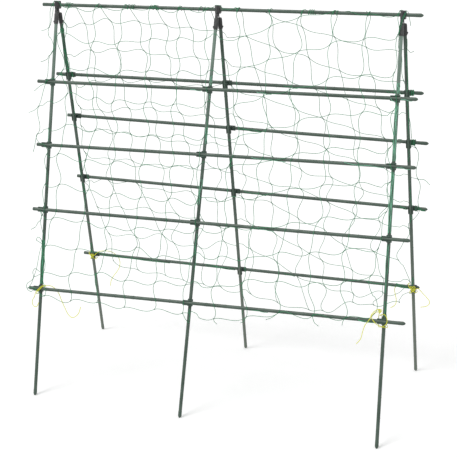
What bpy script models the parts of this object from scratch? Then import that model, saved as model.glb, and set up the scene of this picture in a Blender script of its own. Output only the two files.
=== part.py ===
"""Cucumber trellis: an A-frame of coated garden stakes with a string net.

Three pairs of legs hang from a ridge pole in moulded top fittings. Four rods
cross the outside of each panel in snap clips, a net lies over both panels, and
four cords lash the lowest rods to the outer legs. The back panel folds about
the ridge pole. X runs along the ridge, Z is up, the front panel is at -Y, and
the origin is on the ground under the middle of the bounding box. Metres.
"""

import math

import bmesh
import bpy
from mathutils import Matrix, Vector

# Stakes
STAKE_LENGTH = 1.200
STAKE_DIAMETER = 0.011
STAKE_SIDES = 12
STAKE_END_CHAMFER = 0.0006
TIP_LENGTH = 0.0065
TIP_SHOULDER = 0.0022
TIP_FLAT_RADIUS = 0.0018
FOOT_CUT = 0.0006

# The A-frame
SPLAY = math.radians(13.75)
LEFT_FRAME = 0.535
RIGHT_FRAME = 0.556
RIDGE_SHIFT = 0.013

# Each leg's sideways lean, as metres per metre down the panel, left to right
FRONT_LEAN = (0.011, -0.019, 0.025)
BACK_LEAN = (-0.028, -0.011, 0.026)

# Each rod, top to bottom: its distance from the ridge, its slope and its shift
FRONT_DROP = (0.239, 0.434, 0.639, 0.883)
BACK_DROP = (0.240, 0.393, 0.619, 0.919)
FRONT_SLOPE = (-0.0055, -0.0113, -0.0095, -0.0229)
BACK_SLOPE = (0.0025, 0.0149, 0.0127, -0.0040)
FRONT_SHIFT = (0.020, 0.032, 0.033, 0.039)
BACK_SHIFT = (0.012, 0.027, 0.025, 0.001)

# Fits
FIT_CLEARANCE = 0.0003

# Top fittings
HEAD_WIDTH = 0.0074
HEAD_DEPTH = 0.0170
HEAD_RISE = 0.0120
HEAD_ROUND = 0.0040
HEAD_SIDES = 24
NECK_WIDTH = 0.0056
NECK_DEPTH = 0.0080
NECK_INSET = 0.0014
LEG_PITCH = 0.0054
SLEEVE_TOP = 0.0255
SLEEVE_BORE_TOP = 0.0397
SLEEVE_LENGTH = 0.034
SLEEVE_WALL = 0.0010
SLEEVE_SHOULDER = 0.0035
SLEEVE_CROWN_RADIUS = 0.0061
LUG_RADIUS = 0.0022
LUG_HEIGHT = 0.0024
LUG_FROM_MOUTH = 0.0070

# Cross clips
CLIP_WALL = 0.0022
CLIP_WEB = 0.0023
CLIP_MOUTH = math.radians(100.0)
CLIP_SIDES = 8
LEG_COLLAR = 0.026
ROD_COLLAR_LONG = 0.018
ROD_COLLAR_SHORT = 0.009

# Net
NET_STRING = 0.0012
NET_LEFT = -0.590
NET_RIGHT = 0.555
NET_COLUMNS = 12
NET_ROWS = 10
FRONT_HEM_DROP = 0.034
BACK_HEM_DROP = 0.135
NET_TOP_ANGLE = math.radians(38.0)
NET_WANDER = 0.010
NET_BULGE = 0.004
NET_ARCH_REACH = 0.100
NET_SPREAD_BY = 0.165

# Cord ties
CORD_DIAMETER = 0.0020
CORD_POINT_STEP = 0.0056
WIND_POINTS = 24
WIND_SQUARENESS = 3.0
WIND_OUTSIDE = 0.0158
WIND_CLOSE_OUTSIDE = 0.0146
WIND_INSIDE = -0.0158
WIND_INSIDE_OVER = -0.0182
WIND_BELOW_CLIP = 0.0032

# Lashings as half turns from corner to corner: metres sideways and up the panel
# from the point where the leg's axis meets the rod, and how far each half turn
# bulges out of the panel's middle. The first and last ones are cut short.
TIE_CUT = 0.34
FRONT_LEFT_TURNS = (
    ((-0.0092, -0.0134), (0.0149, 0.0120), WIND_OUTSIDE),
    ((0.0149, 0.0120), (-0.0076, -0.0175), WIND_INSIDE),
    ((-0.0076, -0.0175), (0.0171, 0.0100), WIND_OUTSIDE))
FRONT_RIGHT_TURNS = (
    ((-0.0110, -0.0170), (0.0110, -0.0165), WIND_BELOW_CLIP),
    ((0.0110, -0.0165), (-0.0110, 0.0160), WIND_INSIDE))
BACK_LEFT_TURNS = (
    ((0.0080, -0.0120), (-0.0135, 0.0125), WIND_CLOSE_OUTSIDE),
    ((-0.0135, 0.0125), (0.0125, -0.0105), WIND_INSIDE),
    ((0.0125, -0.0105), (-0.0115, -0.0120), WIND_BELOW_CLIP),
    ((-0.0115, -0.0120), (0.0145, 0.0110), WIND_INSIDE_OVER))
BACK_RIGHT_TURNS = (
    ((-0.0260, -0.0040), (-0.0150, 0.0125), WIND_OUTSIDE),
    ((-0.0150, 0.0125), (0.0125, -0.0105), WIND_INSIDE),
    ((0.0125, -0.0105), (-0.0115, -0.0120), WIND_BELOW_CLIP),
    ((-0.0115, -0.0120), (0.0145, 0.0110), WIND_INSIDE_OVER))

# Free tails, each from the end of its winding: metres sideways, outward and up
# from the point where the leg's axis meets the rod
TAIL_FRONT_LEFT_LONG = (
    (0.0235, 0.0165, 0.0145), (0.0335, 0.0105, 0.0165), (0.0445, 0.0070, 0.0125),
    (0.0545, 0.0055, 0.0055), (0.0615, 0.0055, -0.0030), (0.067, 0.0065, -0.0100),
    (0.0755, 0.0080, -0.0295), (0.085, 0.0090, -0.0500), (0.097, 0.0095, -0.0730),
    (0.1125, 0.0100, -0.0825), (0.1325, 0.0100, -0.0685), (0.1435, 0.0100, -0.0425))
TAIL_FRONT_LEFT_SHORT = (
    (-0.0140, 0.0195, -0.0225), (-0.0210, 0.0190, -0.0335), (-0.0238, 0.0190, -0.0450),
    (-0.0190, 0.0195, -0.0560), (-0.0075, 0.0200, -0.0560), (-0.0005, 0.0200, -0.0420))
TAIL_FRONT_RIGHT_LONG = (
    (-0.0140, 0.0075, -0.0110), (-0.0160, 0.0035, 0.0015), (-0.0155, 0.0035, 0.0140),
    (-0.0130, 0.0085, 0.0265), (-0.0085, 0.0145, 0.0360), (-0.0110, 0.0195, 0.0420),
    (-0.0200, 0.0215, 0.0385), (-0.0310, 0.0240, 0.0275), (-0.0355, 0.0265, 0.0135),
    (-0.0425, 0.0280, 0.0015), (-0.0490, 0.0300, -0.0075), (-0.0550, 0.0325, -0.0290),
    (-0.0570, 0.0325, -0.0400), (-0.0615, 0.0320, -0.0535), (-0.0725, 0.0315, -0.0675))
TAIL_FRONT_RIGHT_LOOP = (
    (-0.0055, 0.0110, 0.0235), (0.0015, 0.0120, 0.0250), (0.0080, 0.0140, 0.0195),
    (0.0120, 0.0180, 0.0105), (0.0118, 0.0222, 0.0030), (0.0085, 0.0218, -0.0032),
    (0.0045, 0.0190, -0.0075),
    (-0.0010, 0.0160, -0.0105), (-0.0120, 0.0180, -0.0085), (-0.0200, 0.0245, -0.0005),
    (-0.0295, 0.0235, 0.0095), (-0.0335, 0.0225, 0.0165), (-0.0295, 0.0200, 0.0245),
    (-0.0205, 0.0175, 0.0310), (-0.0130, 0.0180, 0.0330))
TAIL_BACK_LEFT = (
    (0.0200, -0.0060, 0.0150), (0.0290, 0.0010, 0.0190), (0.0420, 0.0140, 0.0175),
    (0.0590, 0.0250, 0.0130), (0.0760, 0.0270, 0.0040), (0.0880, 0.0255, -0.0070),
    (0.0940, 0.0225, -0.0215), (0.0920, 0.0200, -0.0395), (0.0820, 0.0200, -0.0570),
    (0.0675, 0.0200, -0.0760), (0.0575, 0.0200, -0.0960), (0.0545, 0.0200, -0.1140))
TAIL_BACK_RIGHT_OUTER = (
    (0.0170, -0.0090, 0.0085), (0.0225, -0.0050, 0.0020), (0.0325, -0.0025, -0.0095),
    (0.0445, -0.0020, -0.0215), (0.0535, -0.0020, -0.0320), (0.0545, -0.0020, -0.0415),
    (0.0450, -0.0020, -0.0520), (0.0265, -0.0020, -0.0570))
TAIL_BACK_RIGHT_INNER = (
    (-0.0285, 0.0250, 0.0025), (-0.0440, 0.0255, 0.0005), (-0.0585, 0.0230, -0.0040),
    (-0.0640, 0.0200, -0.0125), (-0.0610, 0.0190, -0.0290), (-0.0565, 0.0185, -0.0490),
    (-0.0595, 0.0185, -0.0665), (-0.0740, 0.0185, -0.0785))

# Sizes that follow from the ones above
STAKE_RADIUS = STAKE_DIAMETER / 2
BORE_RADIUS = STAKE_RADIUS + FIT_CLEARANCE
HEAD_PITCH = HEAD_WIDTH + FIT_CLEARANCE
HEAD_REACH = HEAD_ROUND + math.hypot(HEAD_DEPTH / 2 - HEAD_ROUND, HEAD_RISE - HEAD_ROUND)
SLEEVE_BORE = BORE_RADIUS / math.cos(math.pi / STAKE_SIDES)
SLEEVE_RADIUS = SLEEVE_BORE + SLEEVE_WALL
LEG_TOP = SLEEVE_BORE_TOP + FIT_CLEARANCE
CLIP_ARC = 2 * math.pi - CLIP_MOUTH
CLIP_BORE = BORE_RADIUS / math.cos(CLIP_ARC / CLIP_SIDES / 2)
ROD_STANDOFF = 2 * CLIP_BORE + CLIP_WEB
NET_RADIUS = NET_STRING / 2
NET_STANDOFF = ROD_STANDOFF + STAKE_RADIUS + FIT_CLEARANCE + NET_RADIUS
NET_ON_RIDGE = STAKE_RADIUS + FIT_CLEARANCE + NET_RADIUS
NET_ON_HEAD = HEAD_REACH + FIT_CLEARANCE + NET_RADIUS
CORD_RADIUS = CORD_DIAMETER / 2

FRAMES = (("left", -LEFT_FRAME), ("middle", 0.0), ("right", RIGHT_FRAME))
FRONT = -1
BACK = 1
SIDE_NAME = {FRONT: "front", BACK: "back"}
LEAN = {FRONT: FRONT_LEAN, BACK: BACK_LEAN}
DROP = {FRONT: FRONT_DROP, BACK: BACK_DROP}
SLOPE = {FRONT: FRONT_SLOPE, BACK: BACK_SLOPE}
SHIFT = {FRONT: FRONT_SHIFT, BACK: BACK_SHIFT}
HEM_DROP = {FRONT: FRONT_HEM_DROP, BACK: BACK_HEM_DROP}

ALL_SHIFTS = FRONT_SHIFT + BACK_SHIFT + (RIDGE_SHIFT,)
MIDDLE_X = -(min(ALL_SHIFTS) + max(ALL_SHIFTS)) / 2
STEEPEST_LEAN = max(abs(lean) for lean in FRONT_LEAN + BACK_LEAN)
SHORTEST_DROP = STAKE_LENGTH / math.hypot(1.0, STEEPEST_LEAN)
RIDGE_HEIGHT = (LEG_TOP + SHORTEST_DROP) * math.cos(SPLAY) - FOOT_CUT
RIDGE = Vector((MIDDLE_X, 0.0, RIDGE_HEIGHT))


def clear_scene():
    for item in list(bpy.data.objects):
        bpy.data.objects.remove(item, do_unlink=True)


def new_collection(name):
    group = bpy.data.collections.new(name)
    bpy.context.scene.collection.children.link(group)
    return group


def new_material(name, colour, roughness, metallic=0.0):
    material = bpy.data.materials.new(name)
    material.use_nodes = True
    shader = material.node_tree.nodes["Principled BSDF"]
    shader.inputs["Base Color"].default_value = (*colour, 1.0)
    shader.inputs["Roughness"].default_value = roughness
    shader.inputs["Metallic"].default_value = metallic
    return material


clear_scene()
PARTS = new_collection("cucumber_trellis")
TOOLS = new_collection("cutters_and_joined_shapes")
COAT = (0.062, 0.092, 0.074)
CLIP_GREEN = (0.018, 0.030, 0.024)
FITTING_BLACK = (0.026, 0.027, 0.026)
NET_GREEN = (0.040, 0.270, 0.150)
CORD_YELLOW = (0.720, 0.700, 0.060)


def new_object(name, mesh, matrix, group):
    item = bpy.data.objects.new(name, mesh)
    item.matrix_world = matrix
    group.objects.link(item)
    if group is TOOLS:
        item.hide_render = True
        item.display_type = "WIRE"
    return item


def give_material(item, colour, roughness, metallic=0.0):
    item.data.materials.append(new_material(item.name, colour, roughness, metallic))


def smooth_round(item):
    item.data.shade_smooth()
    item.data.set_sharp_from_angle(angle=math.radians(40.0))


def panel_axes(side):
    """Unit vectors down the panel and square out of it."""
    down = Vector((0.0, side * math.sin(SPLAY), -math.cos(SPLAY)))
    outward = Vector((0.0, side * math.cos(SPLAY), math.sin(SPLAY)))
    return down, outward


def on_panel(side, x, drop, standoff=0.0):
    down, outward = panel_axes(side)
    return RIDGE + Vector((x, 0.0, 0.0)) + down * drop + outward * standoff


def leg_x(side, frame):
    return FRAMES[frame][1] + side * LEG_PITCH / 2


def head_x(side, frame):
    return FRAMES[frame][1] + side * HEAD_PITCH / 2


def leg_direction(side, frame):
    down = panel_axes(side)[0]
    return (down + Vector((LEAN[side][frame], 0.0, 0.0))).normalized()


def rod_direction(side, rod):
    down = panel_axes(side)[0]
    return (Vector((1.0, 0.0, 0.0)) + down * SLOPE[side][rod]).normalized()


def rod_drop(side, rod, x):
    return DROP[side][rod] + SLOPE[side][rod] * x


def crossing(side, frame, rod):
    """The leg's distance along X and down the panel where a rod crosses it."""
    lean = LEAN[side][frame]
    slope = SLOPE[side][rod]
    start = leg_x(side, frame)
    drop = (DROP[side][rod] + slope * start) / (1.0 - slope * lean)
    return start + lean * drop, drop


def axes_matrix(origin, x_axis, z_axis):
    """A placement whose Z is z_axis and whose X is x_axis made square to it."""
    z_unit = z_axis.normalized()
    x_unit = (x_axis - z_unit * x_axis.dot(z_unit)).normalized()
    y_unit = z_unit.cross(x_unit)
    matrix = Matrix((x_unit, y_unit, z_unit)).transposed().to_4x4()
    matrix.translation = origin
    return matrix


def turned(name, profile, sides, matrix, group, closed=False):
    """A profile of (radius, height) points turned about its own Z axis."""
    mesh = bpy.data.meshes.new(name)
    points = [(radius, 0.0, height) for radius, height in profile]
    edges = [(i, i + 1) for i in range(len(points) - 1)]
    if closed:
        edges.append((len(points) - 1, 0))
    mesh.from_pydata(points, edges, [])
    item = new_object(name, mesh, matrix, group)
    screw = item.modifiers.new("turn", "SCREW")
    screw.steps = sides
    screw.render_steps = sides
    screw.use_merge_vertices = True
    screw.merge_threshold = 0.0001
    screw.use_smooth_shade = True
    return item


def join_shape(item, shape, operation="UNION"):
    boolean = item.modifiers.new(shape.name, "BOOLEAN")
    boolean.operation = operation
    boolean.solver = "EXACT"
    boolean.object = shape


def stake(name, start, direction, parent):
    """A coated stake from its flat end at start to its pointed end."""
    shoulder = STAKE_RADIUS * 0.84
    profile = (
        (0.0, 0.0),
        (STAKE_RADIUS - STAKE_END_CHAMFER, 0.0),
        (STAKE_RADIUS, -STAKE_END_CHAMFER),
        (STAKE_RADIUS, -STAKE_LENGTH + TIP_LENGTH),
        (shoulder, -STAKE_LENGTH + TIP_LENGTH - TIP_SHOULDER),
        (TIP_FLAT_RADIUS, -STAKE_LENGTH),
        (0.0, -STAKE_LENGTH))
    matrix = axes_matrix(start, Vector((0.0, 1.0, 0.0)), -direction)
    item = turned(name, profile, STAKE_SIDES, matrix, PARTS)
    give_material(item, COAT, 0.45)
    item.parent = parent
    item.matrix_parent_inverse = parent.matrix_world.inverted()
    return item


def ground_cutter():
    """A slab below the ground that flattens the tips of the feet."""
    span = 2 * STAKE_LENGTH
    bpy.ops.mesh.primitive_cube_add(size=1.0)
    slab = bpy.context.object
    slab.name = "ground_cutter"
    slab.data.transform(Matrix.Diagonal((span, span, 0.02, 1.0)))
    slab.matrix_world = Matrix.Translation((0.0, 0.0, -0.01))
    slab.hide_render = True
    slab.display_type = "WIRE"
    for group in list(slab.users_collection):
        group.objects.unlink(slab)
    TOOLS.objects.link(slab)
    return slab


def legs(side, parent, ground):
    for frame, (label, _) in enumerate(FRAMES):
        direction = leg_direction(side, frame)
        top = on_panel(side, leg_x(side, frame) + LEAN[side][frame] * LEG_TOP, LEG_TOP)
        item = stake(f"{SIDE_NAME[side]}_leg_{label}", top, direction, parent)
        join_shape(item, ground, "DIFFERENCE")


def rods(side, parent):
    for rod in range(len(DROP[side])):
        direction = rod_direction(side, rod)
        middle_x = SHIFT[side][rod]
        middle = on_panel(side, middle_x, rod_drop(side, rod, middle_x), ROD_STANDOFF)
        start = middle - direction * STAKE_LENGTH / 2
        stake(f"{SIDE_NAME[side]}_rod_{rod + 1}", start, direction, parent)


def ridge_pole(parent):
    start = RIDGE + Vector((RIDGE_SHIFT - STAKE_LENGTH / 2, 0.0, 0.0))
    stake("ridge_pole", start, Vector((1.0, 0.0, 0.0)), parent)


def open_collar(name, above, below, matrix, group):
    """A C-shaped collar about its own Z axis, with its mouth towards +X."""
    mesh = bpy.data.meshes.new(name)
    shape = bmesh.new()
    start_angle = CLIP_MOUTH / 2
    start = Vector((math.cos(start_angle), math.sin(start_angle), 0.0)) * CLIP_BORE
    first = shape.verts.new(start - Vector((0.0, 0.0, below)))
    bmesh.ops.spin(shape, geom=[first], cent=(0.0, 0.0, 0.0), axis=(0.0, 0.0, 1.0),
                   angle=CLIP_ARC, steps=CLIP_SIDES, use_merge=False)
    extruded = bmesh.ops.extrude_edge_only(shape, edges=shape.edges[:])
    raised = [part for part in extruded["geom"] if isinstance(part, bmesh.types.BMVert)]
    bmesh.ops.translate(shape, verts=raised, vec=(0.0, 0.0, above + below))
    shape.normal_update()
    face = shape.faces[:][0]
    middle = face.calc_center_median()
    if face.normal.dot(Vector((middle.x, middle.y, 0.0))) < 0.0:
        bmesh.ops.reverse_faces(shape, faces=shape.faces[:])
    shape.to_mesh(mesh)
    shape.free()
    item = new_object(name, mesh, matrix, group)
    wall = item.modifiers.new("wall", "SOLIDIFY")
    wall.thickness = CLIP_WALL
    wall.offset = 1.0
    wall.use_even_offset = True
    return item


def cross_clip(side, frame, rod, parent):
    """Two collars back to back: one on the leg, one on the rod outside it."""
    label = FRAMES[frame][0]
    name = f"{SIDE_NAME[side]}_clip_{label}_{rod + 1}"
    x, drop = crossing(side, frame, rod)
    outward = panel_axes(side)[1]
    leg_up = -leg_direction(side, frame)
    leg_matrix = axes_matrix(on_panel(side, x, drop), -outward, leg_up)
    rod_matrix = axes_matrix(
        on_panel(side, x, drop, ROD_STANDOFF), outward, rod_direction(side, rod))
    right = ROD_COLLAR_SHORT if side == FRONT else ROD_COLLAR_LONG
    left = ROD_COLLAR_LONG if side == FRONT else ROD_COLLAR_SHORT
    item = open_collar(name, LEG_COLLAR / 2, LEG_COLLAR / 2, leg_matrix, PARTS)
    join_shape(item, open_collar(name + "_rod_collar", right, left, rod_matrix, TOOLS))
    give_material(item, CLIP_GREEN, 0.5)
    smooth_round(item)
    item.parent = parent
    item.matrix_parent_inverse = parent.matrix_world.inverted()


def cross_clips(side, parent):
    for frame in range(len(FRAMES)):
        for rod in range(len(DROP[side])):
            cross_clip(side, frame, rod, parent)


def fitting_block(name, size, matrix):
    mesh = bpy.data.meshes.new(name)
    shape = bmesh.new()
    bmesh.ops.create_cube(shape, size=1.0)
    bmesh.ops.scale(shape, vec=size, verts=shape.verts[:])
    shape.to_mesh(mesh)
    shape.free()
    return new_object(name, mesh, matrix, TOOLS)


def rounded_outline(way):
    """Where a line from the middle, along a unit vector, leaves the head's outline."""
    half = Vector((HEAD_DEPTH / 2, HEAD_RISE))
    straight = Vector((abs(way.x), abs(way.y)))
    reach = min(half[i] / max(straight[i], 1e-9) for i in range(2))
    core = half - Vector((HEAD_ROUND, HEAD_ROUND))
    spot = straight * reach
    if spot.x > core.x and spot.y > core.y:
        along = straight.dot(core)
        reach = along + math.sqrt(along ** 2 - core.length_squared + HEAD_ROUND ** 2)
    return way * reach


def fitting_head(name, side, frame):
    """The rounded block that the ridge pole runs through."""
    bore = BORE_RADIUS / math.cos(math.pi / HEAD_SIDES)
    mesh = bpy.data.meshes.new(name)
    shape = bmesh.new()
    bmesh.ops.create_circle(shape, segments=HEAD_SIDES, radius=bore)
    outer = bmesh.ops.create_circle(shape, segments=HEAD_SIDES, radius=1.0)["verts"]
    for vert in outer:
        spot = rounded_outline(vert.co.xy.normalized())
        vert.co = (spot.x, spot.y, 0.0)
    bmesh.ops.bridge_loops(shape, edges=shape.edges[:])
    extruded = bmesh.ops.extrude_face_region(shape, geom=shape.faces[:])
    raised = [part for part in extruded["geom"] if isinstance(part, bmesh.types.BMVert)]
    bmesh.ops.translate(shape, verts=raised, vec=(0.0, 0.0, HEAD_WIDTH))
    bmesh.ops.translate(shape, verts=shape.verts[:], vec=(0.0, 0.0, -HEAD_WIDTH / 2))
    bmesh.ops.recalc_face_normals(shape, faces=shape.faces[:])
    shape.to_mesh(mesh)
    shape.free()
    centre = RIDGE + Vector((head_x(side, frame), 0.0, 0.0))
    matrix = axes_matrix(centre, panel_axes(side)[1], Vector((1.0, 0.0, 0.0)))
    return new_object(name, mesh, matrix, TOOLS)


def fitting_neck(name, side, frame):
    """A bar at the left face of the head, from the head down to the sleeve."""
    top = (BORE_RADIUS + HEAD_RISE) / 2
    reach = SLEEVE_TOP + SLEEVE_SHOULDER / 4 - top
    x = head_x(side, frame) - (HEAD_WIDTH - NECK_WIDTH) / 2 + FIT_CLEARANCE
    middle = on_panel(side, x, top + reach / 2, -NECK_INSET)
    matrix = axes_matrix(middle, Vector((1.0, 0.0, 0.0)), -panel_axes(side)[0])
    return fitting_block(name, (NECK_WIDTH, NECK_DEPTH, reach), matrix)


def fitting_lug(name, centre, direction, side):
    """A small round lug low on the sleeve, on the side away from its partner."""
    height = SLEEVE_TOP + SLEEVE_LENGTH - LUG_FROM_MOUTH
    sideways = Vector((side, 0.0, 0.0))
    mesh = bpy.data.meshes.new(name)
    shape = bmesh.new()
    bmesh.ops.create_cone(shape, cap_ends=True, segments=8, radius1=LUG_RADIUS,
                          radius2=LUG_RADIUS * 0.7, depth=LUG_HEIGHT + SLEEVE_WALL)
    shape.to_mesh(mesh)
    shape.free()
    reach = SLEEVE_RADIUS + (LUG_HEIGHT - SLEEVE_WALL) / 2
    place = centre + direction * height + sideways * reach
    return new_object(name, mesh, axes_matrix(place, direction, sideways), TOOLS)


def top_fitting(side, frame, parent):
    """A head on the ridge pole, a narrow neck and a sleeve for the leg."""
    name = f"{SIDE_NAME[side]}_fitting_{FRAMES[frame][0]}"
    centre = RIDGE + Vector((leg_x(side, frame), 0.0, 0.0))
    direction = leg_direction(side, frame)
    mouth = SLEEVE_TOP + SLEEVE_LENGTH
    profile = (
        (0.0, -SLEEVE_TOP),
        (SLEEVE_CROWN_RADIUS, -SLEEVE_TOP),
        (SLEEVE_RADIUS, -SLEEVE_TOP - SLEEVE_SHOULDER),
        (SLEEVE_RADIUS, -mouth),
        (SLEEVE_BORE, -mouth),
        (SLEEVE_BORE, -SLEEVE_BORE_TOP),
        (0.0, -SLEEVE_BORE_TOP))
    matrix = axes_matrix(centre, Vector((0.0, 1.0, 0.0)), -direction)
    item = turned(name, profile, STAKE_SIDES, matrix, PARTS)
    join_shape(item, fitting_neck(name + "_neck", side, frame))
    join_shape(item, fitting_head(name + "_head", side, frame))
    join_shape(item, fitting_lug(name + "_lug", centre, direction, side))
    give_material(item, FITTING_BLACK, 0.4)
    item.parent = parent
    item.matrix_parent_inverse = parent.matrix_world.inverted()


def net_point(side, column, row):
    """A knot of the net: on the ridge in the top row, else outside the rods."""
    across = column / NET_COLUMNS
    x = NET_LEFT + (NET_RIGHT - NET_LEFT) * across
    if row == 0:
        nearest = min(abs(x - head_x(side, frame)) for frame in range(len(FRAMES)))
        radius = NET_ON_HEAD if nearest < NET_ARCH_REACH else NET_ON_RIDGE
        turn = NET_TOP_ANGLE
        radius /= math.cos(math.pi / 2 - SPLAY - turn)
        offset = Vector((x, side * radius * math.sin(turn), radius * math.cos(turn)))
        return RIDGE + offset
    lowest = len(DROP[side]) - 1
    hem = rod_drop(side, lowest, x) + HEM_DROP[side]
    edge = min(column, NET_COLUMNS - column, NET_ROWS - row, 1)
    freedom = NET_WANDER * (0.35 + 0.65 * edge)
    x += freedom * math.sin(1.9 * column + 2.7 * row + side)
    drop = hem * row / NET_ROWS + freedom * math.sin(2.6 * column - 1.7 * row)
    ease = min(drop / NET_SPREAD_BY, 1.0)
    standoff = NET_ON_RIDGE + (NET_STANDOFF - NET_ON_RIDGE) * ease
    bulge = NET_BULGE * max(0.0, math.sin(1.3 * column + 2.2 * row))
    return on_panel(side, x, drop, standoff + bulge * ease)


def net_half(side, parent):
    """One half of the net: a grid of square meshes turned into thin strings."""
    name = f"net_{SIDE_NAME[side]}"
    mesh = bpy.data.meshes.new(name)
    pivot = parent.matrix_world.translation
    shape = bmesh.new()
    knots = {}
    for column in range(NET_COLUMNS + 1):
        for row in range(NET_ROWS + 1):
            knots[column, row] = shape.verts.new(net_point(side, column, row) - pivot)
    for column in range(NET_COLUMNS):
        for row in range(NET_ROWS):
            corners = ((column, row), (column + 1, row),
                       (column + 1, row + 1), (column, row + 1))
            shape.faces.new([knots[corner] for corner in corners])
    bmesh.ops.recalc_face_normals(shape, faces=shape.faces[:])
    shape.to_mesh(mesh)
    shape.free()
    item = new_object(name, mesh, Matrix.Translation(pivot), PARTS)
    strings = item.modifiers.new("strings", "WIREFRAME")
    strings.thickness = NET_STRING
    strings.use_even_offset = True
    strings.use_boundary = True
    strings.use_replace = True
    give_material(item, NET_GREEN, 0.6)
    item.parent = parent
    item.matrix_parent_inverse = parent.matrix_world.inverted()


def tube(name, points, bevel_resolution, colour, parent):
    """A cord along a list of points, with filled ends."""
    pivot = parent.matrix_world.translation
    curve = bpy.data.curves.new(name, "CURVE")
    curve.dimensions = "3D"
    curve.bevel_depth = CORD_RADIUS
    curve.bevel_resolution = bevel_resolution
    curve.use_fill_caps = True
    spline = curve.splines.new("POLY")
    spline.points.add(len(points) - 1)
    for spot, point in zip(spline.points, points):
        spot.co = (*(point - pivot), 1.0)
    item = new_object(name, curve, Matrix.Translation(pivot), PARTS)
    give_material(item, colour, 0.55)
    item.parent = parent
    item.matrix_parent_inverse = parent.matrix_world.inverted()
    return item


def least_gap(points):
    """The least distance between the sides of turns that pass each other."""
    apart = WIND_POINTS // 2
    gaps = [(points[i] - points[j]).length - CORD_DIAMETER
            for i in range(len(points)) for j in range(i + apart, len(points))]
    return min(gaps)


def half_turn(centre, side, start, end, bulge, shares):
    """Points of a half turn between two corners, from one share of it to another."""
    down, outward = panel_axes(side)
    across = Vector((1.0, 0.0, 0.0))
    steps = round((shares[1] - shares[0]) * WIND_POINTS / 2)
    power = 2.0 / WIND_SQUARENESS
    points = []
    for step in range(steps + 1):
        turn = math.pi * (shares[0] + (shares[1] - shares[0]) * step / steps)
        cosine = math.cos(turn)
        width = math.copysign(abs(cosine) ** power, cosine)
        sideways = (start[0] + end[0]) / 2 + (start[0] - end[0]) / 2 * width
        up = (start[1] + end[1]) / 2 + (start[1] - end[1]) / 2 * width
        depth = bulge * abs(math.sin(turn)) ** power
        points.append(centre + across * sideways - down * up + outward * depth)
    return points


def winding(name, side, frame, turns, last_share, parent):
    """A cord wound in half turns round a leg and the lowest rod, and its two ends."""
    rod = len(DROP[side]) - 1
    x, drop = crossing(side, frame, rod)
    centre = on_panel(side, x, drop, ROD_STANDOFF / 2)
    points = []
    for i, (start, end, bulge) in enumerate(turns):
        shares = (TIE_CUT if i == 0 else 0.0, last_share if i == len(turns) - 1 else 1.0)
        points += half_turn(centre, side, start, end, bulge, shares)[min(i, 1):]
    print(name, "least gap to itself", round(least_gap(points) * 1000, 2), "mm")
    start_way = (points[0] - points[1]).normalized()
    end_way = (points[-1] - points[-2]).normalized()
    points.insert(0, points[0] + start_way * CORD_DIAMETER)
    points.append(points[-1] + end_way * CORD_DIAMETER)
    tube(name, points, 1, CORD_YELLOW, parent)
    return on_panel(side, x, drop), (points[0], start_way), (points[-1], end_way)


def smooth_route(points):
    """Evenly spaced points on a smooth curve that starts with a straight piece."""
    ends = points + [2 * points[-1] - points[-2]]
    fine = []
    for i in range(1, len(ends) - 2):
        before, a, b, after = ends[i - 1], ends[i], ends[i + 1], ends[i + 2]
        for step in range(20):
            t = step / 20
            fine.append(0.5 * (2 * a + (b - before) * t
                               + (2 * before - 5 * a + 4 * b - after) * t ** 2
                               + (3 * a - before - 3 * b + after) * t ** 3))
    fine.append(points[-1])
    lengths = [0.0]
    for a, b in zip(fine, fine[1:]):
        lengths.append(lengths[-1] + (b - a).length)
    pieces = max(3, round(lengths[-1] / CORD_POINT_STEP))
    even = [points[0]]
    spot = 0
    for piece in range(pieces + 1):
        target = lengths[-1] * piece / pieces
        while spot < len(fine) - 2 and lengths[spot + 1] < target:
            spot += 1
        share = (target - lengths[spot]) / (lengths[spot + 1] - lengths[spot])
        even.append(fine[spot].lerp(fine[spot + 1], share))
    return even, lengths[-1] + (points[1] - points[0]).length


def tail(name, side, knot, end, offsets, parent):
    """A free length of cord that leaves the end of a winding."""
    point, way = end
    route = [point + way * FIT_CLEARANCE, point + way * 2 * CORD_DIAMETER]
    for sideways, outward, up in offsets:
        route.append(knot + Vector((sideways, side * outward, up)))
    even, length = smooth_route(route)
    print(name, "length", round(length * 1000), "mm")
    tube(name, even, 2, CORD_YELLOW, parent)


def front_ties(parent):
    knot, first, last = winding(
        "tie_front_left", FRONT, 0, FRONT_LEFT_TURNS, 1.0 - TIE_CUT, parent)
    tail("tie_front_left_tail_long", FRONT, knot, last, TAIL_FRONT_LEFT_LONG, parent)
    tail("tie_front_left_tail_short", FRONT, knot, first, TAIL_FRONT_LEFT_SHORT, parent)
    knot, first, last = winding(
        "tie_front_right", FRONT, 2, FRONT_RIGHT_TURNS, 1.0, parent)
    tail("tie_front_right_tail_long", FRONT, knot, first, TAIL_FRONT_RIGHT_LONG, parent)
    tail("tie_front_right_loop", FRONT, knot, last, TAIL_FRONT_RIGHT_LOOP, parent)


def back_ties(parent):
    knot, _, last = winding(
        "tie_back_left", BACK, 0, BACK_LEFT_TURNS, 1.0 - TIE_CUT, parent)
    tail("tie_back_left_tail", BACK, knot, last, TAIL_BACK_LEFT, parent)
    knot, first, last = winding(
        "tie_back_right", BACK, 2, BACK_RIGHT_TURNS, 1.0 - TIE_CUT, parent)
    tail("tie_back_right_tail_outer", BACK, knot, last, TAIL_BACK_RIGHT_OUTER, parent)
    tail("tie_back_right_tail_inner", BACK, knot, first, TAIL_BACK_RIGHT_INNER, parent)


def pivot(name):
    item = bpy.data.objects.new(name, None)
    item.location = RIDGE
    PARTS.objects.link(item)
    bpy.context.view_layer.update()
    return item


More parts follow.
